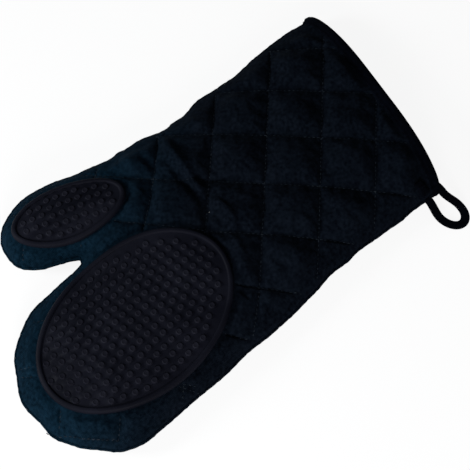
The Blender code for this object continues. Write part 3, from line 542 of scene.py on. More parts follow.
PALM_PAD = Pad(PALM_PAD_CENTRE, PALM_PAD_HALF_SIZES, PALM_PAD_TURN, PALM_ROWS_TURN,
               PALM_MIDDLES_TURN, PALM_ROWS, PALM_DOT_PITCH, PALM_LOWEST_ROW)
THUMB_PAD = Pad(THUMB_PAD_CENTRE, THUMB_PAD_HALF_SIZES, THUMB_PAD_TURN, THUMB_ROWS_TURN,
                THUMB_PAD_TURN, THUMB_ROWS, THUMB_DOT_PITCH, THUMB_LOWEST_ROW)

# Plan places become world places by the pad, whose middle is known in both
PAD_LOW, PAD_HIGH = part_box("palm_pad")
TO_WORLD = np.array([(PAD_LOW[0] + PAD_HIGH[0]) / 2 - PAD_ANCHOR[0],
                     (PAD_LOW[1] + PAD_HIGH[1]) / 2 - PAD_ANCHOR[1], 0])

BROAD_WAVES = Waves(BROAD_WAVE_LENGTH)
CLOTH_WAVES = Waves(CLOTH_WAVE_LENGTH)
FINE_WAVES = Waves(FINE_WAVE_LENGTH)
PUCKER_WAVES = Waves(PUCKER_WAVE_LENGTH)


def cubic_weight(distance):
    """Weight of a grid value at a distance counted in grid steps, smooth between values."""
    distance = np.abs(distance)
    near = 2 / 3 - distance ** 2 + distance ** 3 / 2
    return np.where(distance < 1, near, np.maximum(2 - distance, 0) ** 3 / 6)


class Panel:
    """One quilted side of the mitt, with the faces of its layers."""

    def __init__(self, side, rise, reach, quilt_shift, drift, pads, pressed, folds):
        self.side = side
        self.rise = rise
        self.reach = reach
        self.settling = None
        self.origin = np.array(QUILT_ORIGIN) + quilt_shift
        self.drift = drift
        self.pads = pads
        self.pressed = pressed
        self.folds = folds

    def quilt_place(self, points):
        """Places counted in quilt squares both ways; towards the fingertips the lines drift."""
        offset = (points - self.origin) / (math.sqrt(2) * QUILT_PITCH)
        far = smooth_step((points[:, 1] - DRIFT_START) / DRIFT_LENGTH)
        return (offset[:, 0] + offset[:, 1] - self.drift[0] * far,
                offset[:, 0] - offset[:, 1] - self.drift[1] * far)

    def from_quilt(self, first, second):
        step = QUILT_PITCH / math.sqrt(2)
        far = np.zeros(len(first))
        for _ in range(DRIFT_ROUNDS):
            one, other = first + self.drift[0] * far, second + self.drift[1] * far
            points = self.origin + np.column_stack([one + other, one - other]) * step
            far = smooth_step((points[:, 1] - DRIFT_START) / DRIFT_LENGTH)
        return points

    def outside_pads(self, points):
        far = np.full(len(points), GLOVE_LENGTH)
        for pad in self.pads:
            far = np.minimum(far, pad.outside(points))
        return far

    def free(self, points):
        """1 where the quilting is free, falling to 0 at the pads."""
        return smooth_step(self.outside_pads(points) / PAD_FADE)

    def near_edges(self, points):
        """1 inside, falling to 0 at the seam and the binding, round at the cuff's corners."""
        side = from_side(points) - LAYER_INSET
        cuff = from_cuff(points) - BINDING_WIDTH
        radius = CUFF_CORNER_RADIUS
        corner = radius - np.hypot(np.maximum(radius - side, 0), np.maximum(radius - cuff, 0))
        both = (side < radius) & (cuff < radius)
        return (smooth_step(np.where(both, corner, side) / EDGE_FADE)
                * smooth_step(np.where(both, corner, cuff) / CUFF_FADE))

    def pillow(self, points, fullness):
        """1 in the middle of each quilt square, falling to 0 at its stitches."""
        share = np.ones(len(points))
        for place in self.quilt_place(points):
            share *= 1 - np.abs(2 * (place - np.floor(place) - 0.5)) ** fullness
        return share

    def wadding(self, points):
        """Thickness of the wadding: full in each quilt square, thin at the stitches."""
        pillow = self.pillow(points, PILLOW_FULLNESS) * self.near_edges(points)
        quilted = WADDING_AT_STITCHES + (WADDING_AT_CROWN - WADDING_AT_STITCHES) * pillow
        return WADDING_UNDER_PAD + (quilted - WADDING_UNDER_PAD) * self.free(points)

    def inside(self, points):
        share = np.clip(from_side(points) / self.reach, 0, 1)
        return GAP / 2 + self.rise * (1 - (1 - share) ** 2) ** DOME_POWER

    def face(self, points, layer):
        """Height of a layer's face, from 0 for the lining's inside to 5 for the cover's outside."""
        lift = self.inside(points)
        wadding = self.wadding(points) if layer >= 3 else 0
        for thickness in (LINING_THICKNESS, GAP, wadding, GAP, COVER_THICKNESS)[:layer]:
            lift = lift + thickness
        height = SEAM_HEIGHT + self.side * lift
        if self.pressed and layer >= 3:
            height = np.maximum(height, (COVER_THICKNESS + GAP, COVER_THICKNESS, 0)[layer - 3])
        return height

    def sewn(self, points):
        """1 where the quilting is sewn, 0 near the seam, the binding and the pads."""
        return (smooth_step((from_cuff(points) - BINDING_WIDTH) / SEWN_CUFF_FADE)
                * smooth_step((from_side(points) - QUILT_EDGE_MARGIN) / SEWN_EDGE_FADE)
                * smooth_step(self.outside_pads(points) / SEWN_EDGE_FADE))

    def stitch_depth(self, points):
        """How much the stitched lines are drawn in, with puckers that spread from them."""
        depth = np.zeros(len(points))
        places = self.quilt_place(points)
        for place, along in (places, places[::-1]):
            off = (place - np.round(place)) * QUILT_PITCH
            tug = np.cos(2 * math.pi * along * QUILT_PITCH / STITCH_PITCH)
            depth += GROOVE_DEPTH * np.exp(-(off / GROOVE_HALF_WIDTH) ** 2) * (1 + STITCH_TUG * tug)
            pucker = PUCKER_WAVES(np.column_stack([along * QUILT_PITCH, off * 0.25]))
            depth += PUCKER_HEIGHT * pucker * np.exp(-np.abs(off) / PUCKER_REACH)
        return depth * self.sewn(points)

    def fold_height(self, points):
        height = np.zeros(len(points))
        for line, lift, half_width in self.folds:
            knots = np.array([line[0], *line, line[-1]])
            path = [catmull_rom(*knots[i:i + 4], step / FOLD_STEPS)
                    for i in range(len(line) - 1) for step in range(FOLD_STEPS)]
            off, where = line_distance(points, np.array(path + [knots[-1]]))
            ends = (smooth_step(where / FOLD_END_SHARE)
                    * smooth_step((1 - where) / FOLD_END_SHARE))
            height += lift * ends * np.exp(-(off / half_width) ** 2)
        return height

    def swell(self, points):
        """How much fuller the cover is than its plain solid, in the middle of each square."""
        more = ((WADDING_AT_CROWN + CROWN_SWELL) * self.pillow(points, SKIN_FULLNESS)
                - WADDING_AT_CROWN * self.pillow(points, PILLOW_FULLNESS))
        return more * self.near_edges(points) * self.free(points)

    def settled(self, points):
        """How far the simulated cloth moved, read from its grid of quilt places."""
        if self.settling is None:
            return 0
        total = 0
        middle = len(self.settling) / 2
        places = [place * SETTLE_GRID + middle for place in self.quilt_place(points)]
        bases = [np.floor(place).astype(int) for place in places]
        shares = [place - base for place, base in zip(places, bases)]
        for i in range(-1, 3):
            for j in range(-1, 3):
                weight = cubic_weight(shares[0] - i) * cubic_weight(shares[1] - j)
                total = total + weight * self.settling[bases[0] + i, bases[1] + j]
        return total

    def skin(self, points):
        """The cover's outside with its folds, puckers and small waves."""
        height = self.face(points, 5)
        if not self.pressed:
            height = height + self.swell(points) + self.settled(points)
        near = self.near_edges(points) * self.free(points)
        detail = BROAD_WAVE_HEIGHT * BROAD_WAVES(points) * near
        detail += CLOTH_WAVE_HEIGHT * CLOTH_WAVES(points) * near
        detail += FINE_WAVE_HEIGHT * FINE_WAVES(points) * (0.3 + 0.7 * near)
        detail -= self.stitch_depth(points)
        detail += self.fold_height(points) * smooth_step(self.outside_pads(points) / FOLD_FADE)
        height = height + self.side * detail
        if self.pressed:
            return np.maximum(height, RIPPLE * (1 + FINE_WAVES(points)))
        height = np.maximum(height, self.face(points, 2) + COVER_THICKNESS + LEAST_STACK)
        return self.turned_down(points, height)

    def turned_down(self, points, height):
        """The palm's edge, rounded down over the side to the seam."""
        way = np.clip((from_side(points) - PALM_SEAM_INSET) / PALM_EDGE_REACH, 0, 1)
        seam = SEAM_HEIGHT + PALM_SEAM_LIFT
        return seam + (height - seam) * np.sqrt(1 - (1 - way) ** 2)


FULL_STACK = LINING_THICKNESS + GAP + WADDING_AT_CROWN + GAP + COVER_THICKNESS
BACK_DROP = SEAM_HEIGHT + PRESSED_FLAT - GAP / 2 - FULL_STACK
BACK_SHIFT = np.array([BACK_QUILT_SHIFT, -BACK_QUILT_SHIFT])
GROOVES = tuple((row, *SEAM_GROOVE) for row in SEAM_ROWS)
PALM = Panel(1, PALM_RISE, PALM_DOME_REACH, np.zeros(2), PALM_QUILT_DRIFT, (PALM_PAD, THUMB_PAD),
             False, FOLDS + GROOVES)
BACK = Panel(-1, BACK_DROP, BACK_DOME_REACH, BACK_SHIFT, (0, 0), (), True, ())


def new_object(name, data):
    obj = bpy.data.objects.new(name, data)
    bpy.context.collection.objects.link(obj)
    return obj


def mesh_object(name, points, faces, material, angle=60):
    """An object from world points and faces, shaded smooth, with its faces turned outwards."""
    mesh = bpy.data.meshes.new(name)
    mesh.from_pydata([tuple(p) for p in points], [], [tuple(int(i) for i in f) for f in faces])
    shape = bmesh.new()
    shape.from_mesh(mesh)
    loose = [v for v in shape.verts if not v.link_faces]
    bmesh.ops.delete(shape, geom=loose, context="VERTS")
    bmesh.ops.recalc_face_normals(shape, faces=shape.faces)
    shape.to_mesh(mesh)
    shape.free()
    mesh.shade_smooth()
    mesh.set_sharp_from_angle(angle=math.radians(angle))
    mesh.materials.append(material)
    return new_object(name, mesh)


class Piece:
    """The points and faces of one piece, put together row by row in the plan's frame."""

    def __init__(self):
        self.rows = []
        self.faces = []
        self.total = 0

    def add(self, points):
        """Adds a row of points and gives their numbers."""
        self.rows.append(points)
        self.total += len(points)
        return np.arange(self.total - len(points), self.total)

    def bridge(self, rows, closed=True):
        """Adds the quads between neighbouring rows of numbers."""
        for low, high in zip(rows, rows[1:]):
            if closed:
                low, high = np.append(low, low[0]), np.append(high, high[0])
            self.faces += zip(low, low[1:], high[1:], high)

    def made(self, name, material, angle=60, puffs=True):
        points = np.vstack(self.rows)
        points = puffed(points) if puffs else points
        return mesh_object(name, points + TO_WORLD, self.faces, material, angle)


def in_plan(points):
    x, y = points[:, 0], points[:, 1]
    return (np.abs(x) < PLAN_HALF_WIDTH) & (y > PLAN_LOW) & (y < PLAN_HIGH)


def triangulated(points, outline_count):
    """Triangles between plan points, inside the closed line that the first of them make."""
    outline = list(range(outline_count))
    found = delaunay_2d_cdt([Vector(p) for p in points], [], [outline], 1, 1e-7)
    return np.array([[found[3][i][0] for i in corners] for corners in found[2]])


def panel_plan(panel, per_square, inset, rings, cuff_depths, crowding=0):
    """Plan points and triangles inside an inset outline: a quilt-aligned grid and edge rings."""
    step = QUILT_PITCH / per_square
    edge = dense(inset_outline(SIDE, inset), step)
    cuff_x = np.linspace(edge[-1, 0], edge[0, 0], round((edge[-1, 0] - edge[0, 0]) / step) + 1)
    cuff = np.column_stack([cuff_x, cloth_edge(cuff_x)])[1:-1]
    loop = np.vstack([edge, cuff])
    points = [loop]
    for extra in rings:
        ring = dense(inset_outline(SIDE, inset + extra), step)[1:-1]
        clear = from_side(ring) > inset + extra - RING_TOLERANCE
        points.append(ring[clear & (from_cuff(ring) > 0.4 * step)])
    last = inset + max((0, *rings))
    for depth in cuff_depths:
        row = cuff + [0, depth]
        points.append(row[from_side(row) > last + 0.5 * step])
    marks = np.arange(-QUILT_REACH * per_square, QUILT_REACH * per_square + 1) / per_square
    marks = marks - crowding * np.sin(2 * math.pi * marks) / (2 * math.pi)
    first, second = np.meshgrid(marks, marks, indexing="ij")
    grid = panel.from_quilt(first.ravel(), second.ravel())
    grid = grid[in_plan(grid)]
    grid = grid[from_cuff(grid) > max((0, *cuff_depths)) + 0.6 * step]
    grid = grid[within(grid, loop)]
    points.append(grid[from_side(grid) > last + 0.6 * step])
    points = np.vstack(points)
    return points, upward(points, triangulated(points, len(loop))), np.arange(len(loop))


def upward(points, triangles):
    """Triangles with their corners in the order that faces up."""
    a, b, c = (points[triangles[:, i]] for i in range(3))
    turned = (b[:, 0] - a[:, 0]) * (c[:, 1] - a[:, 1]) - (b[:, 1] - a[:, 1]) * (c[:, 0] - a[:, 0])
    return np.where(turned[:, None] > 0, triangles, triangles[:, ::-1])


def shell(name, top, bottom, triangles, loop, material):
    """A closed layer between two faces that share their plan and their edge loop."""
    piece = Piece()
    piece.add(top)
    loops = [loop, loop + piece.add(bottom)[0]]
    piece.faces += [*triangles, *(triangles[:, ::-1] + len(top))]
    piece.bridge(loops)
    return piece.made(name, material)


class Nodes:
    """The nodes of a material or a world, added with their inputs."""

    def __init__(self, owner):
        owner.use_nodes = True
        self.tree = owner.node_tree

    def feed(self, node, inputs):
        """Sets each input to a constant, or joins it to another node's output."""
        for name, value in inputs.items():
            if isinstance(value, bpy.types.NodeSocket):
                self.tree.links.new(value, node.inputs[name])
            else:
                node.inputs[name].default_value = value

    def add(self, kind, inputs=None, **settings):
        node = self.tree.nodes.new("ShaderNode" + kind)
        for name, value in settings.items():
            setattr(node, name, value)
        self.feed(node, inputs or {})
        return node.outputs

    def surface(self, inputs):
        self.feed(self.tree.nodes["Principled BSDF"], inputs)

    def noise(self, place, scale, detail, roughness=0.5):
        inputs = {"Vector": place, "Scale": scale, "Detail": detail, "Roughness": roughness}
        return self.add("TexNoise", inputs)["Fac"]

    def more(self, value, share, base):
        """A value's share, added to a base."""
        return self.add("Math", {0: value, 1: share, 2: base}, operation="MULTIPLY_ADD")[0]

    def bump(self, height, strength, depth):
        inputs = {"Height": height, "Strength": strength, "Distance": depth}
        return self.add("Bump", inputs)["Normal"]

    def ramp(self, value, tones, positions):
        ramp = self.tree.nodes.new("ShaderNodeValToRGB")
        for element, tone, position in zip(ramp.color_ramp.elements, tones, positions):
            element.position = position
            element.color = (*tone, 1)
        self.feed(ramp, {"Fac": value})
        return ramp.outputs["Color"]


def painted_light_blend(nodes, place, near, far):
    """Painted light: a colour that turns brighter and teal from the cuff to the fingertips and the
    thumb.
    """
    split = nodes.add("SeparateXYZ", {"Vector": place})
    total = nodes.add("Math", {0: split["X"], 1: split["Y"]})[0]
    shift = TO_WORLD[0] + TO_WORLD[1]
    way = nodes.add("MapRange", {"Value": total, "From Min": PAINTED_LIGHT_START + shift,
                                 "From Max": PAINTED_LIGHT_FULL + shift},
                    interpolation_type="SMOOTHSTEP")["Result"]
    return nodes.add("Mix", {"Factor": way, 6: near, 7: far}, data_type="RGBA")[2]


def cloth_material(name, tones, roughness, weave, weave_depth, fade, mottle=45, painted_light_tones=None):
    """Woven cloth: threads both ways as bump, uneven dye and a little worn fuzz; a second set of
    tones, when given, paints brighter teal light towards the fingertips and the thumb.
    """
    material = bpy.data.materials.new(name)
    nodes = Nodes(material)
    place = nodes.add("TexCoord")["Object"]
    threads = {}
    for i in range(2):
        turned = nodes.add("Mapping", {"Vector": place, "Rotation": (0, 0, i * math.pi / 2)})
        threads[i] = nodes.add("TexWave", {
            "Vector": turned["Vector"], "Scale": 2 * math.pi / weave / 20, "Distortion": 1.2,
            "Detail": 2, "Detail Scale": 1.5})["Fac"]
    height = nodes.add("Math", threads, operation="MAXIMUM")[0]
    crumple = nodes.noise(place, scale=430, detail=3)
    grain = nodes.noise(place, scale=700, detail=3)
    height = nodes.more(grain, share=0.8, base=height)
    height = nodes.more(crumple, share=CRUMPLE, base=height)
    patches = nodes.noise(place, scale=mottle, detail=6, roughness=0.6)
    mixed = nodes.more(patches, share=0.5, base=crumple)
    colour = nodes.ramp(mixed, tones, TONE_PLACES)
    # The second set of tones paints a brighter teal light towards the fingertips and the thumb
    if painted_light_tones:
        far = nodes.ramp(mixed, painted_light_tones, TONE_PLACES)
        colour = painted_light_blend(nodes, place, colour, far)
    nodes.surface({
        "Base Color": colour, "Roughness": roughness, "Specular IOR Level": 0.012,
        "Sheen Weight": fade, "Sheen Roughness": 0.5, "Sheen Tint": (0.55, 0.75, 1.0, 1),
        "Normal": nodes.bump(height, strength=0.6, depth=weave_depth)})
    return material


def silicone_material(name, tones):
    """Matt moulded silicone with a fine grain, faint dust and slightly uneven gloss."""
    material = bpy.data.materials.new(name)
    nodes = Nodes(material)
    place = nodes.add("TexCoord")["Object"]
    handling = nodes.noise(place, scale=38, detail=5)
    grain = nodes.noise(place, scale=900, detail=4)
    gloss = nodes.add("MapRange", {"Value": handling, "To Min": 0.50, "To Max": 0.72})["Result"]
    nodes.surface({
        "Base Color": nodes.ramp(handling, tones, (0.35, 0.68)), "Roughness": gloss,
        "Specular IOR Level": 0.035,
        "Normal": nodes.bump(grain, strength=0.35, depth=0.0002)})
    return material


# The cotton's second pair of tones paints brighter teal light on the fingertips and the thumb
COTTON = cloth_material("black_cotton_weave", ((0.0005, 0.0010, 0.0022), (0.0034, 0.0053, 0.0089)),
                        roughness=0.92, weave=0.0009, weave_depth=0.00022, fade=0.006,
                        painted_light_tones=((0.0005, 0.0034, 0.0068), (0.0026, 0.0108, 0.0200)))
LINING = cloth_material("lining_weave", ((0.0075, 0.0085, 0.0105), (0.0120, 0.0135, 0.0165)),
                        roughness=0.9, weave=0.0008, weave_depth=0.0002, fade=0.012)
TAPE = cloth_material("binding_twill", ((0.0003, 0.0005, 0.0013), (0.0010, 0.0016, 0.0033)),
                      roughness=0.86, weave=0.0007, weave_depth=0.0003, fade=0.004)
# The thread's light tones paint the glints of the running stitches: painted highlight
THREAD = cloth_material("thread_twist", ((0.0020, 0.0034, 0.0056), (0.0210, 0.0270, 0.0340)),
                        roughness=0.7, weave=0.0004, weave_depth=0.0001, fade=0.01, mottle=260)
FIBRE = cloth_material("wadding_fibre", ((0.42, 0.40, 0.36), (0.62, 0.60, 0.55)),
                       roughness=1.0, weave=0.003, weave_depth=0.0006, fade=0.05)
SILICONE = silicone_material("silicone_skin",
                             ((0.0022, 0.0025, 0.0048), (0.0044, 0.0048, 0.0084)))
# A lighter copy of the same silicone for the dots: painted highlight on them
PAINTED_LIGHT_SILICONE = silicone_material("silicone_dots_painted_light",
                                  ((0.0040, 0.0042, 0.0072), (0.0074, 0.0078, 0.0122)))


def declared(piece, body, slot, *nodes):
    """The piece rides on its body and stands for its CAD nodes, which it hides; its slot is not
    used.
    """
    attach(piece, body)
    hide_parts(*nodes)
    return piece


def settle_cloth(panel):
    """Simulates the cover as cloth cut a little too large, held at its stitches and blown out."""
    points, triangles, _ = panel_plan(panel, SETTLE_GRID, PALM_SEAM_INSET, (), ())
    start = with_height(points, panel.skin(points))
    trial = mesh_object("cloth_to_settle", start, triangles, COTTON)
    places = panel.quilt_place(points)
    off_line = np.minimum(*(np.abs(place - np.round(place)) for place in places))
    loose = off_line > HELD_BY_STITCH / SETTLE_GRID
    loose &= (panel.near_edges(points) > HELD_BY_EDGE) & (panel.free(points) > HELD_BY_PAD)
    held = trial.vertex_groups.new(name="held")
    held.add([int(i) for i in np.nonzero(~loose)[0]], 1.0, "REPLACE")
    cloth = trial.modifiers.new("settle", "CLOTH")
    cloth.collision_settings.use_collision = False
    for name, value in CLOTH_SETTINGS.items():
        setattr(cloth.settings, name, value)
    cloth.settings.effector_weights.gravity = 0
    scene = bpy.context.scene
    for frame_number in range(1, SETTLE_FRAMES + 1):
        scene.frame_set(frame_number)
    shape = trial.evaluated_get(bpy.context.evaluated_depsgraph_get()).to_mesh()
    moved = np.empty(len(points) * 3)
    shape.vertices.foreach_get("co", moved)
    rise = np.clip((moved.reshape(-1, 3) - start)[:, 2], -SETTLE_LIMIT, SETTLE_LIMIT)
    scene.frame_set(1)
    bpy.data.objects.remove(trial)
    size = 2 * QUILT_REACH * SETTLE_GRID
    at = np.array(places) * SETTLE_GRID + size / 2
    cells = np.round(at).astype(int)
    on_grid = (np.abs(at - cells) < GRID_TOLERANCE).all(0)
    panel.settling = np.zeros((size, size))
    panel.settling[cells[0, on_grid], cells[1, on_grid]] = rise[on_grid]


def palm_cloth():
    """The palm's outer cotton: fine quilted skin whose edge turns down into the seam."""
    points, triangles, loop = panel_plan(PALM, PALM_FINENESS, PALM_SEAM_INSET, PALM_EDGE_RINGS,
                                         PALM_CUFF_ROWS, PALM_CROWDING)
    skin = PALM.skin(points)
    return shell("palm_cover_cotton", with_height(points, skin),
                 with_height(points, skin - COVER_THICKNESS), triangles, loop, COTTON)


def back_cloth():
    """The back's outer cotton, pressed flat where it lies, with its rolled and puckered side."""
    step = QUILT_PITCH / BACK_FINENESS
    points, triangles, loop = panel_plan(BACK, BACK_FINENESS, BACK_SEAM_INSET, BACK_EDGE_RINGS,
                                         BACK_CUFF_ROWS)
    edge_count = len(dense(inset_outline(SIDE, BACK_SEAM_INSET), step))
    outline = dense(dense(SIDE, step), run_lengths(SIDE).sum() / (edge_count - 1))
    low_edge = SEAM_HEIGHT + ROLL_PROFILE[0][1]
    blend = smooth_step((from_side(points) - BACK_SEAM_INSET) / BACK_EDGE_BLEND)
    skin = low_edge + (BACK.skin(points) - low_edge) * blend
    piece = Piece()
    strips = []
    for thickness in (0, COVER_THICKNESS):
        face = piece.add(with_height(points, skin + thickness))
        piece.faces += list(triangles + face[0])
        strips.append([face[:edge_count]])
    for strip, thickness, drop in zip(strips, (0, COVER_THICKNESS), (0, ROLL_INNER_DROP)):
        for inset, lift in ROLL_PROFILE[1:]:
            line = inset_outline(outline, inset + thickness)
            strip.append(piece.add(with_height(line, SEAM_HEIGHT + lift - drop)))
    whole = strips[0] + strips[1][::-1]
    piece.bridge(whole, closed=False)
    piece.faces += [[strip[end] for strip in whole] for end in (0, -1)]
    cuff_side = np.append(loop[edge_count - 1:], loop[0])
    piece.bridge([cuff_side, cuff_side + len(points)], closed=False)
    return piece.made("back_cover_cotton", COTTON)


def inner_layers():
    """Linings and waddings between the covers, at a plainer fineness."""
    for panel, name in ((PALM, "palm"), (BACK, "back")):
        points, triangles, loop = panel_plan(panel, INNER_FINENESS, LAYER_INSET, (), ())
        for part, layers, material, slot in (("wadding", (2, 3), FIBRE, "wadding"),
                                             ("lining", (0, 1), LINING, "lining_cotton")):
            low, high = (panel.face(points, layer) for layer in layers[::panel.side])
            if part == "lining":
                ripple = RIPPLE * CLOTH_WAVES(points)
                low, high = low + ripple, high + ripple
            elif panel.side > 0:
                under = panel.skin(points) - COVER_THICKNESS - WADDING_CLEARANCE
                high = np.maximum(np.minimum(high, under), low + LEAST_WADDING)
            piece = shell(f"{name}_{part}_layer", with_height(points, high),
                          with_height(points, low), triangles, loop, material)
            declared(piece, "mitt", slot, f"{name}_{part}")


def pad_mould(name, pad):
    """A moulded pad: rounded rim with a soft crest, a step down to the plate, and round dots."""
    def raised(points, lift):
        return with_height(points, PALM.face(points, 5) + PAD_SEAT_GAP + lift)

    piece = Piece()
    profile = [(inset * PAD_RIM_WIDTH, lift * PAD_RIM_HEIGHT) for inset, lift in RIM_SHARES]
    profile += [(inset * PAD_RIM_WIDTH, PAD_PLATE + lift) for inset, lift in RIM_FOOT]
    rings = [piece.add(raised(pad.oval(inset), lift)) for inset, lift in profile]
    piece.bridge(rings)
    foot_inset, dots, spokes = profile[-1][0], pad.dots(), circle(DOT_SIDES)
    bases = (dots[:, None] + DOT_FOOT_RADIUS * spokes[None]).reshape(-1, 2)
    marks = np.arange(-PAD_GRID_REACH, PAD_GRID_REACH, PAD_GRID)
    across, along = np.meshgrid(marks, marks)
    fill = pad.placed(across.ravel(), along.ravel(), pad.rows_turn)
    fill = fill[pad.outside(fill) < -foot_inset - PAD_GRID_MARGIN]
    near_dot = np.linalg.norm(fill[:, None] - dots[None], axis=-1).min(1)
    fill = fill[near_dot > DOT_FOOT_RADIUS + DOT_MARGIN]
    plan = np.vstack([pad.oval(foot_inset), bases, fill])
    first = rings[-1][0]
    first_base, first_fill = PAD_SEGMENTS, PAD_SEGMENTS + len(bases)
    piece.add(raised(plan[first_base:], PAD_PLATE))
    for corners in triangulated(plan, PAD_SEGMENTS):
        same_dot = len(set((corners - first_base) // DOT_SIDES)) == 1
        if not (same_dot and corners.min() >= first_base and corners.max() < first_fill):
            piece.faces.append(corners + first)
    first_dot_face = len(piece.faces)
    for k, centre in enumerate(dots):
        level = raised(centre[None], PAD_PLATE)[0, 2]
        rings = [first + first_base + k * DOT_SIDES + np.arange(DOT_SIDES)]
        for share, lift in DOT_SHARES:
            ring = centre + DOT_RADIUS * share * spokes
            rings.append(piece.add(with_height(ring, level + DOT_HEIGHT * lift)))
        piece.bridge(rings)
        piece.faces.append(rings[-1])
    last_dot_face = len(piece.faces)
    insets = [inset for inset in PAD_UNDER_RINGS if inset < pad.half_width]
    under = [piece.add(raised(pad.oval(inset), 0)) for inset in insets]
    piece.bridge([np.arange(PAD_SEGMENTS), *under])
    piece.faces.append(under[-1])
    mould = piece.made(name, SILICONE, angle=50, puffs=False)
    # The dots take the lighter copy of the silicone, which paints highlight on them
    mould.data.materials.append(PAINTED_LIGHT_SILICONE)
    for face in mould.data.polygons[first_dot_face:last_dot_face]:
        face.material_index = 1
    return mould


def shift_outline(points, distance):
    """Move a closed line of (x, z) points outwards, square to the line on both sides."""
    before = points - np.roll(points, 1, axis=0)
    after = np.roll(points, -1, axis=0) - points
    normals = []
    for run in (before, after):
        run = run / np.linalg.norm(run, axis=1)[:, None]
        normals.append(np.column_stack([-run[:, 1], run[:, 0]]))
    middle = normals[0] + normals[1]
    middle /= np.linalg.norm(middle, axis=1)[:, None]
    stretch = 1 / np.maximum((middle * normals[0]).sum(1), 0.5)
    return points + np.reshape(distance, (-1, 1)) * stretch[:, None] * middle


def even_loop(points, count):
    """A closed line with evenly spaced points."""
    closed = np.vstack([points, points[:1]])
    return dense(closed, run_lengths(closed).sum() / count)[:-1]


def cuff_lines():
    """The mouth's outer and inner lines of (x, z), matched point by point."""
    across = np.linspace(LEFT_X + CUFF_CORNER_INSET, RIGHT_X - CUFF_CORNER_INSET, CUFF_STEPS)

    def at_cuff(panel, layer):
        return panel.face(np.column_stack([across, cloth_edge(across)]), layer)

    roll = ROLL_PROFILE[1:6]
    corner = np.array(CORNER_INSETS) + PALM_SEAM_INSET
    palm_x = np.concatenate([LEFT_X + corner, across, (RIGHT_X - corner)[::-1]])
    plan = np.column_stack([palm_x, cloth_edge(palm_x)])
    palm_top = PALM.turned_down(plan, PALM.face(plan, 5))
    left = [(LEFT_X + inset, SEAM_HEIGHT + lift) for inset, lift in roll]
    right = [(RIGHT_X - inset, SEAM_HEIGHT + lift) for inset, lift in roll[::-1]]
    outer = left + list(zip(palm_x, palm_top)) + right + list(zip(across, at_cuff(BACK, 5)))[::-1]
    palm_in, back_in = at_cuff(PALM, 0), at_cuff(BACK, 0)
    step = (palm_in[0] - back_in[0]) / 3
    left_x, right_x = LEFT_X + BINDING_SETBACK, RIGHT_X - BINDING_SETBACK
    left = [(left_x, back_in[0] + step), (left_x, palm_in[0] - step)]
    right = [(right_x, palm_in[-1] - step), (right_x, back_in[-1] + step)]
    inner = left + list(zip(across, palm_in)) + right + list(zip(across, back_in))[::-1]
    return np.array(outer), np.array(inner)


def binding_tape():
    """The folded tape round the mouth: round fold, stitched edge and small unevenness."""
    outer, inner = (even_loop(line, BINDING_STEPS) for line in cuff_lines())
    start = np.linalg.norm(inner - outer[0], axis=1).argmin()
    inner = np.roll(inner, -start, axis=0)
    length = np.linspace(0, 2 * math.pi, BINDING_STEPS, endpoint=False)
    uneven = 0.5 * np.sin(13 * length) + 0.3 * np.sin(31 * length + 1) + 0.3 * np.sin(57 * length)
    tug = 1 + STITCH_TUG * np.cos(length * BINDING_STEPS / 3.2)
    thick = BINDING_THICKNESS
    full = thick + GAP + BINDING_WIDTH + BINDING_UNEVENNESS * uneven
    piece = Piece()
    rings = []

    def add(line, depth):
        place = np.column_stack([line[:, 0], cuff_edge(line[:, 0]) + depth, line[:, 1]])
        rings.append(piece.add(place))

    for depth, lift in ((full, 0.02), (full - 0.0003, 0.30), (full - 0.0009, 0.52),
                        (full - 0.0016, 0.58 - 0.12 * tug), (full - 0.0026, 0.92),
                        (0.55 * full, 1.22 + 0.06 * uneven), (0.32 * full, 1.18 + 0.06 * uneven),
                        (0.17 * full, 1)):
        add(shift_outline(outer, GAP + thick * lift), depth)
    outside = shift_outline(outer, GAP + thick * 0.9)
    inside = shift_outline(inner, -GAP - thick)
    for way, depth in ((0.08, 0.10), (0.2, 0.035), (0.4, -0.01), (0.6, -0.01), (0.8, 0.035),
                       (0.93, 0.10), (1, 0.2)):
        add(outside + (inside - outside) * way, depth * full)
    add(inside, full - 0.0003)
    for line, distance, depths in ((inner, -GAP, (full, thick)), (outer, GAP, (thick, full))):
        for depth in depths:
            add(shift_outline(line, distance), depth)
    piece.bridge([*rings, rings[0]])
    return piece.made("cuff_binding_tape", TAPE)


ROOT_X = LEFT_X - GAP - BINDING_THICKNESS - LOOP_ROOT_GAP
LOOP_Y = cuff_edge(LEFT_X) + LOOP_CUFF_OFFSET
LOOP_SPAN = LOOP_LEG + LOOP_REACH


def loop_path():
    """The middle line of the loop's tape: out along one leg, round the end and back."""
    legs = np.arange(LOOP_LEG_STEPS) / LOOP_LEG_STEPS
    turn = math.pi * np.arange(LOOP_BEND_STEPS + 1) / LOOP_BEND_STEPS
    widening = LOOP_HALF_SPREAD - LOOP_ROOT_HALF_SPREAD
    out = np.column_stack([legs * LOOP_LEG, LOOP_ROOT_HALF_SPREAD + widening * smooth_step(legs)])
    bend = np.column_stack([LOOP_LEG + LOOP_REACH * np.sin(turn), LOOP_HALF_SPREAD * np.cos(turn)])
    flat = np.vstack([out, bend, out[::-1] * (1, -1)])
    fall = SEAM_HEIGHT - LOOP_FLOOR_GAP - TAPE_THICKNESS * 0.5
    height = SEAM_HEIGHT - fall * smooth_step(0.5 + flat[:, 0] / LOOP_SPAN / 2) * 2 + fall
    sway = LOOP_SWAY * smooth_step(flat[:, 0] / LOOP_SPAN)
    path = np.column_stack([ROOT_X - flat[:, 0], LOOP_Y - sway - flat[:, 1], height])
    root_height = SEAM_HEIGHT + LOOP_ROOT_LIFT
    roots = [np.array([ROOT_X + reach, LOOP_Y + LOOP_ROOT_INSIDE * side, root_height])
             for side in (-1, 1) for reach in (LOOP_ROOT_DEPTH, LOOP_ROOT_DEPTH / 2)]
    return np.vstack([roots[:2], path, roots[:1:-1]])


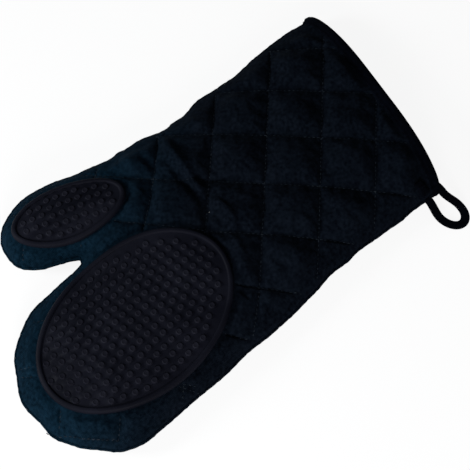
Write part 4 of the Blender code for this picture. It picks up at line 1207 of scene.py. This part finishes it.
def hanging_tape():
    """The loop's strap: woven tape with rounded edges and a stitched line along each."""
    path = loop_path()
    section = np.array(TAPE_SHARES) * (TAPE_WIDTH / 2, TAPE_THICKNESS / 2)
    section = np.vstack([section, -section[1:-1]])
    piece = Piece()
    rings = []
    for place, along in zip(path, headings(path)):
        normal = np.cross(along, [-along[1], along[0], 0])
        normal /= np.linalg.norm(normal)
        wide = np.cross(normal, along)
        rings.append(piece.add(place + section[:, :1] * wide + section[:, 1:] * normal))
    piece.bridge(rings)
    piece.faces += [rings[0], rings[-1]]
    return piece.made("hanging_loop_tape", TAPE, puffs=False)


def patch(name, node, slot, middle, half_sizes, counts, lift, thickness, crown):
    """A soft patch of tape that follows the palm cover, highest in its middle."""
    columns, rows = counts
    u, v = np.meshgrid(np.linspace(-1, 1, columns), np.linspace(-1, 1, rows))
    index = np.arange(u.size).reshape(rows, columns)
    u, v = u.ravel(), v.ravel()
    grid = np.array(middle) + np.column_stack([u, v]) * half_sizes
    low = PALM.face(grid, 5) + lift
    round_off = (1 - u ** 6) * (1 - v ** 6)
    top = low + thickness * (0.35 + 0.65 * round_off) + crown * (1 - u * u) * (1 - v * v)
    corners = (index[:-1, :-1], index[:-1, 1:], index[1:, 1:], index[1:, :-1])
    quads = np.column_stack([corner.ravel() for corner in corners])
    loop = np.concatenate([index[0], index[1:, -1], index[-1, -2::-1], index[-2:0:-1, 0]])
    piece = shell(name, with_height(grid, top), with_height(grid, low), quads, loop, TAPE)
    declared(piece, "mitt", slot, node)


def thread_run(name, places, directions, heights_of):
    """Short stitches along a line, each a bent capsule that dives into the cloth at both ends."""
    shares, fat = np.array(STITCH_STATIONS).T
    centres = places[:, None] + directions[:, None] * (shares * STITCH_LENGTH)[None, :, None]
    middles = heights_of(centres.reshape(-1, 2)).reshape(len(places), -1).mean(1)
    sunk = RANDOM.uniform(*STITCH_SINK, len(places))
    dive = STITCH_DIVE * (np.abs(shares) * 2) ** 3
    levels = middles[:, None] + STITCH_RADIUS * (STITCH_LIFT - sunk[:, None] - dive[None])
    across, lift = (STITCH_RADIUS * fat[:, None] * values for values in circle(STITCH_SIDES).T)
    normals = np.column_stack([-directions[:, 1], directions[:, 0]])
    spots = centres[:, :, None] + normals[:, None, None] * across[None, :, :, None]
    heights = levels[:, :, None] + lift[None]
    points = np.concatenate([spots, heights[..., None]], axis=-1).reshape(-1, 3)
    piece = Piece()
    for rings in piece.add(points).reshape(len(places), len(shares), STITCH_SIDES):
        piece.bridge(rings)
        piece.faces += [rings[0], rings[-1]]
    return piece.made(name, THREAD)


def quilt_stitches(panel, name):
    """The running stitches along the quilt lines."""
    places, directions = [], []
    steps = np.arange(-QUILT_REACH, QUILT_REACH, STITCH_PITCH / QUILT_PITCH)
    for line in range(-QUILT_REACH, QUILT_REACH + 1):
        for way in (1, -1):
            shift = RANDOM.uniform(-STITCH_SHIFT, STITCH_SHIFT)
            marks = steps + shift * STITCH_PITCH / QUILT_PITCH
            track = panel.from_quilt(*(marks, np.full(len(marks), float(line)))[::way])
            places.append(track + RANDOM.normal(0, STITCH_WANDER, track.shape))
            directions.append(np.full(track.shape, (1, way)) / math.sqrt(2))
    places, directions = np.vstack(places), np.vstack(directions)
    near = in_plan(places)
    places, directions = places[near], directions[near]
    keep = within(places, np.vstack([SIDE, [[0, cloth_edge(0)]]]))
    keep &= (panel.sewn(places) > 0.5) & (from_cuff(places) > 0)
    places, directions = places[keep], directions[keep]
    for row in SEAM_ROWS if panel is PALM else ():
        track = dense(np.array(row), STITCH_PITCH)
        places = np.vstack([places, track])
        directions = np.vstack([directions, headings(track)])
    angle = RANDOM.normal(0, STITCH_TURN, len(places))
    cos, sin = np.cos(angle), np.sin(angle)
    turned = np.column_stack([directions[:, 0] * cos - directions[:, 1] * sin,
                              directions[:, 0] * sin + directions[:, 1] * cos])
    stitches = thread_run(name, places, turned, panel.skin)
    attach(stitches, "mitt")


def stage():
    """White floor that keeps a soft shadow, white world for the camera, and soft studio light."""
    material = bpy.data.materials.new("floor_paper")
    nodes = Nodes(material)
    nodes.surface({"Base Color": (0.88, 0.88, 0.88, 1), "Roughness": 0.9})
    paper = nodes.tree.nodes["Principled BSDF"].outputs["BSDF"]
    white = nodes.add("Emission", {"Color": (1, 1, 1, 1)})["Emission"]
    rays = nodes.add("LightPath")
    seen = nodes.add("Math", {0: rays["Is Camera Ray"], 1: rays["Is Transmission Ray"]},
                     operation="MAXIMUM")[0]
    share = nodes.add("Math", {0: seen, 1: 0.9}, operation="MULTIPLY")[0]
    mix = nodes.add("MixShader", {"Fac": share, 1: paper, 2: white})["Shader"]
    nodes.feed(nodes.tree.nodes["Material Output"], {"Surface": mix})
    half = FLOOR_HALF_SIZE
    corners = [(x, y, -FLOOR_DROP) for x, y in ((-half, -half), (half, -half), (half, half),
                                                (-half, half))]
    floor = mesh_object("floor", corners, [(0, 1, 2, 3)], material)

    world = bpy.data.worlds.new("studio")
    bpy.context.scene.world = world
    nodes = Nodes(world)
    light = nodes.tree.nodes["Background"]
    nodes.feed(light, {"Color": (0.90, 0.95, 1.0, 1), "Strength": 0.21})
    white = nodes.add("Background", {"Color": (1, 1, 1, 1)})["Background"]
    seen = nodes.add("LightPath")["Is Camera Ray"]
    mix = nodes.add("MixShader", {"Fac": seen, 1: light.outputs["Background"], 2: white})
    nodes.feed(nodes.tree.nodes["World Output"], {"Surface": mix["Shader"]})

    softbox("key", turn=0, reach=0.90, height=0.42, size=0.30, watts=10.8,
            colour=(0.95, 0.98, 1.0))
    softbox("fill", turn=81, reach=0.80, height=0.36, size=0.30, watts=7.0,
            colour=(1.0, 0.98, 1.0))


def softbox(name, turn, reach, height, size, watts, colour):
    """A square lamp that looks at the mitt from one side, turned from the light's side of it."""
    data = bpy.data.lights.new(name, "AREA")
    data.size = size
    data.energy = watts
    data.color = colour
    angle = LIGHT_ANGLE + math.radians(turn)
    place = Vector((math.cos(angle) * reach, math.sin(angle) * reach, height))
    aimed(new_object(name, data), place, place)


def aimed(obj, place, back):
    """Sets a lamp or a camera in its place, with its back the given way."""
    obj.location = place
    obj.rotation_mode = "QUATERNION"
    obj.rotation_quaternion = back.to_track_quat("Z", "Y")


def camera():
    """The photograph's viewing angle: 65 degrees above the floor, from the fingers' side."""
    data = bpy.data.cameras.new("camera")
    data.sensor_width = SENSOR
    data.lens = SENSOR * FOCAL_PIXELS / PICTURE_PIXELS
    data.clip_start = 0.01
    data.clip_end = 10
    level = math.cos(CAMERA_ELEVATION)
    back = Vector((math.sin(CAMERA_AZIMUTH) * level, -math.cos(CAMERA_AZIMUTH) * level,
                   math.sin(CAMERA_ELEVATION)))
    obj = new_object("camera", data)
    aimed(obj, Vector(np.array(CAMERA_AIM) + TO_WORLD) + back * CAMERA_DISTANCE, back)
    bpy.context.scene.camera = obj


def main():
    camera()
    stage()
    settle_cloth(PALM)
    palm = declared(palm_cloth(), "mitt", "black_cotton", "palm_cover")
    back = declared(back_cloth(), "mitt", "black_cotton", "back_cover")
    inner_layers()
    declared(pad_mould("palm_pad_silicone", PALM_PAD), "mitt", "silicone", "palm_pad")
    declared(pad_mould("thumb_pad_silicone", THUMB_PAD), "mitt", "silicone", "thumb_pad")
    declared(binding_tape(), "mitt", "binding_tape", "cuff_binding")
    strap = hanging_tape()
    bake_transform(strap)
    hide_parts("hanging_loop")
    middle = (LEFT_X + TAB_INSET + TAB_LENGTH / 2, LOOP_Y + LOOP_ROOT_HALF_SPREAD)
    patch("loop_end_tape", "loop_end_tab", "binding_tape", middle,
          (TAB_LENGTH / 2, TAPE_WIDTH / 2), counts=(16, 12), lift=TAB_SEAT_GAP,
          thickness=TAPE_THICKNESS, crown=0.0003)
    patch("loop_tack_thread", "loop_bar_tack", "thread", middle,
          (TACK_WIDTH / 2, TACK_LENGTH / 2), counts=(6, 24),
          lift=TAB_SEAT_GAP + TAPE_THICKNESS + GAP, thickness=TACK_THICKNESS, crown=0.0002)
    quilt_stitches(PALM, "palm_quilt_stitches")
    quilt_stitches(BACK, "back_quilt_stitches")


main()
bpy.context.scene.view_settings.view_transform = "Standard"
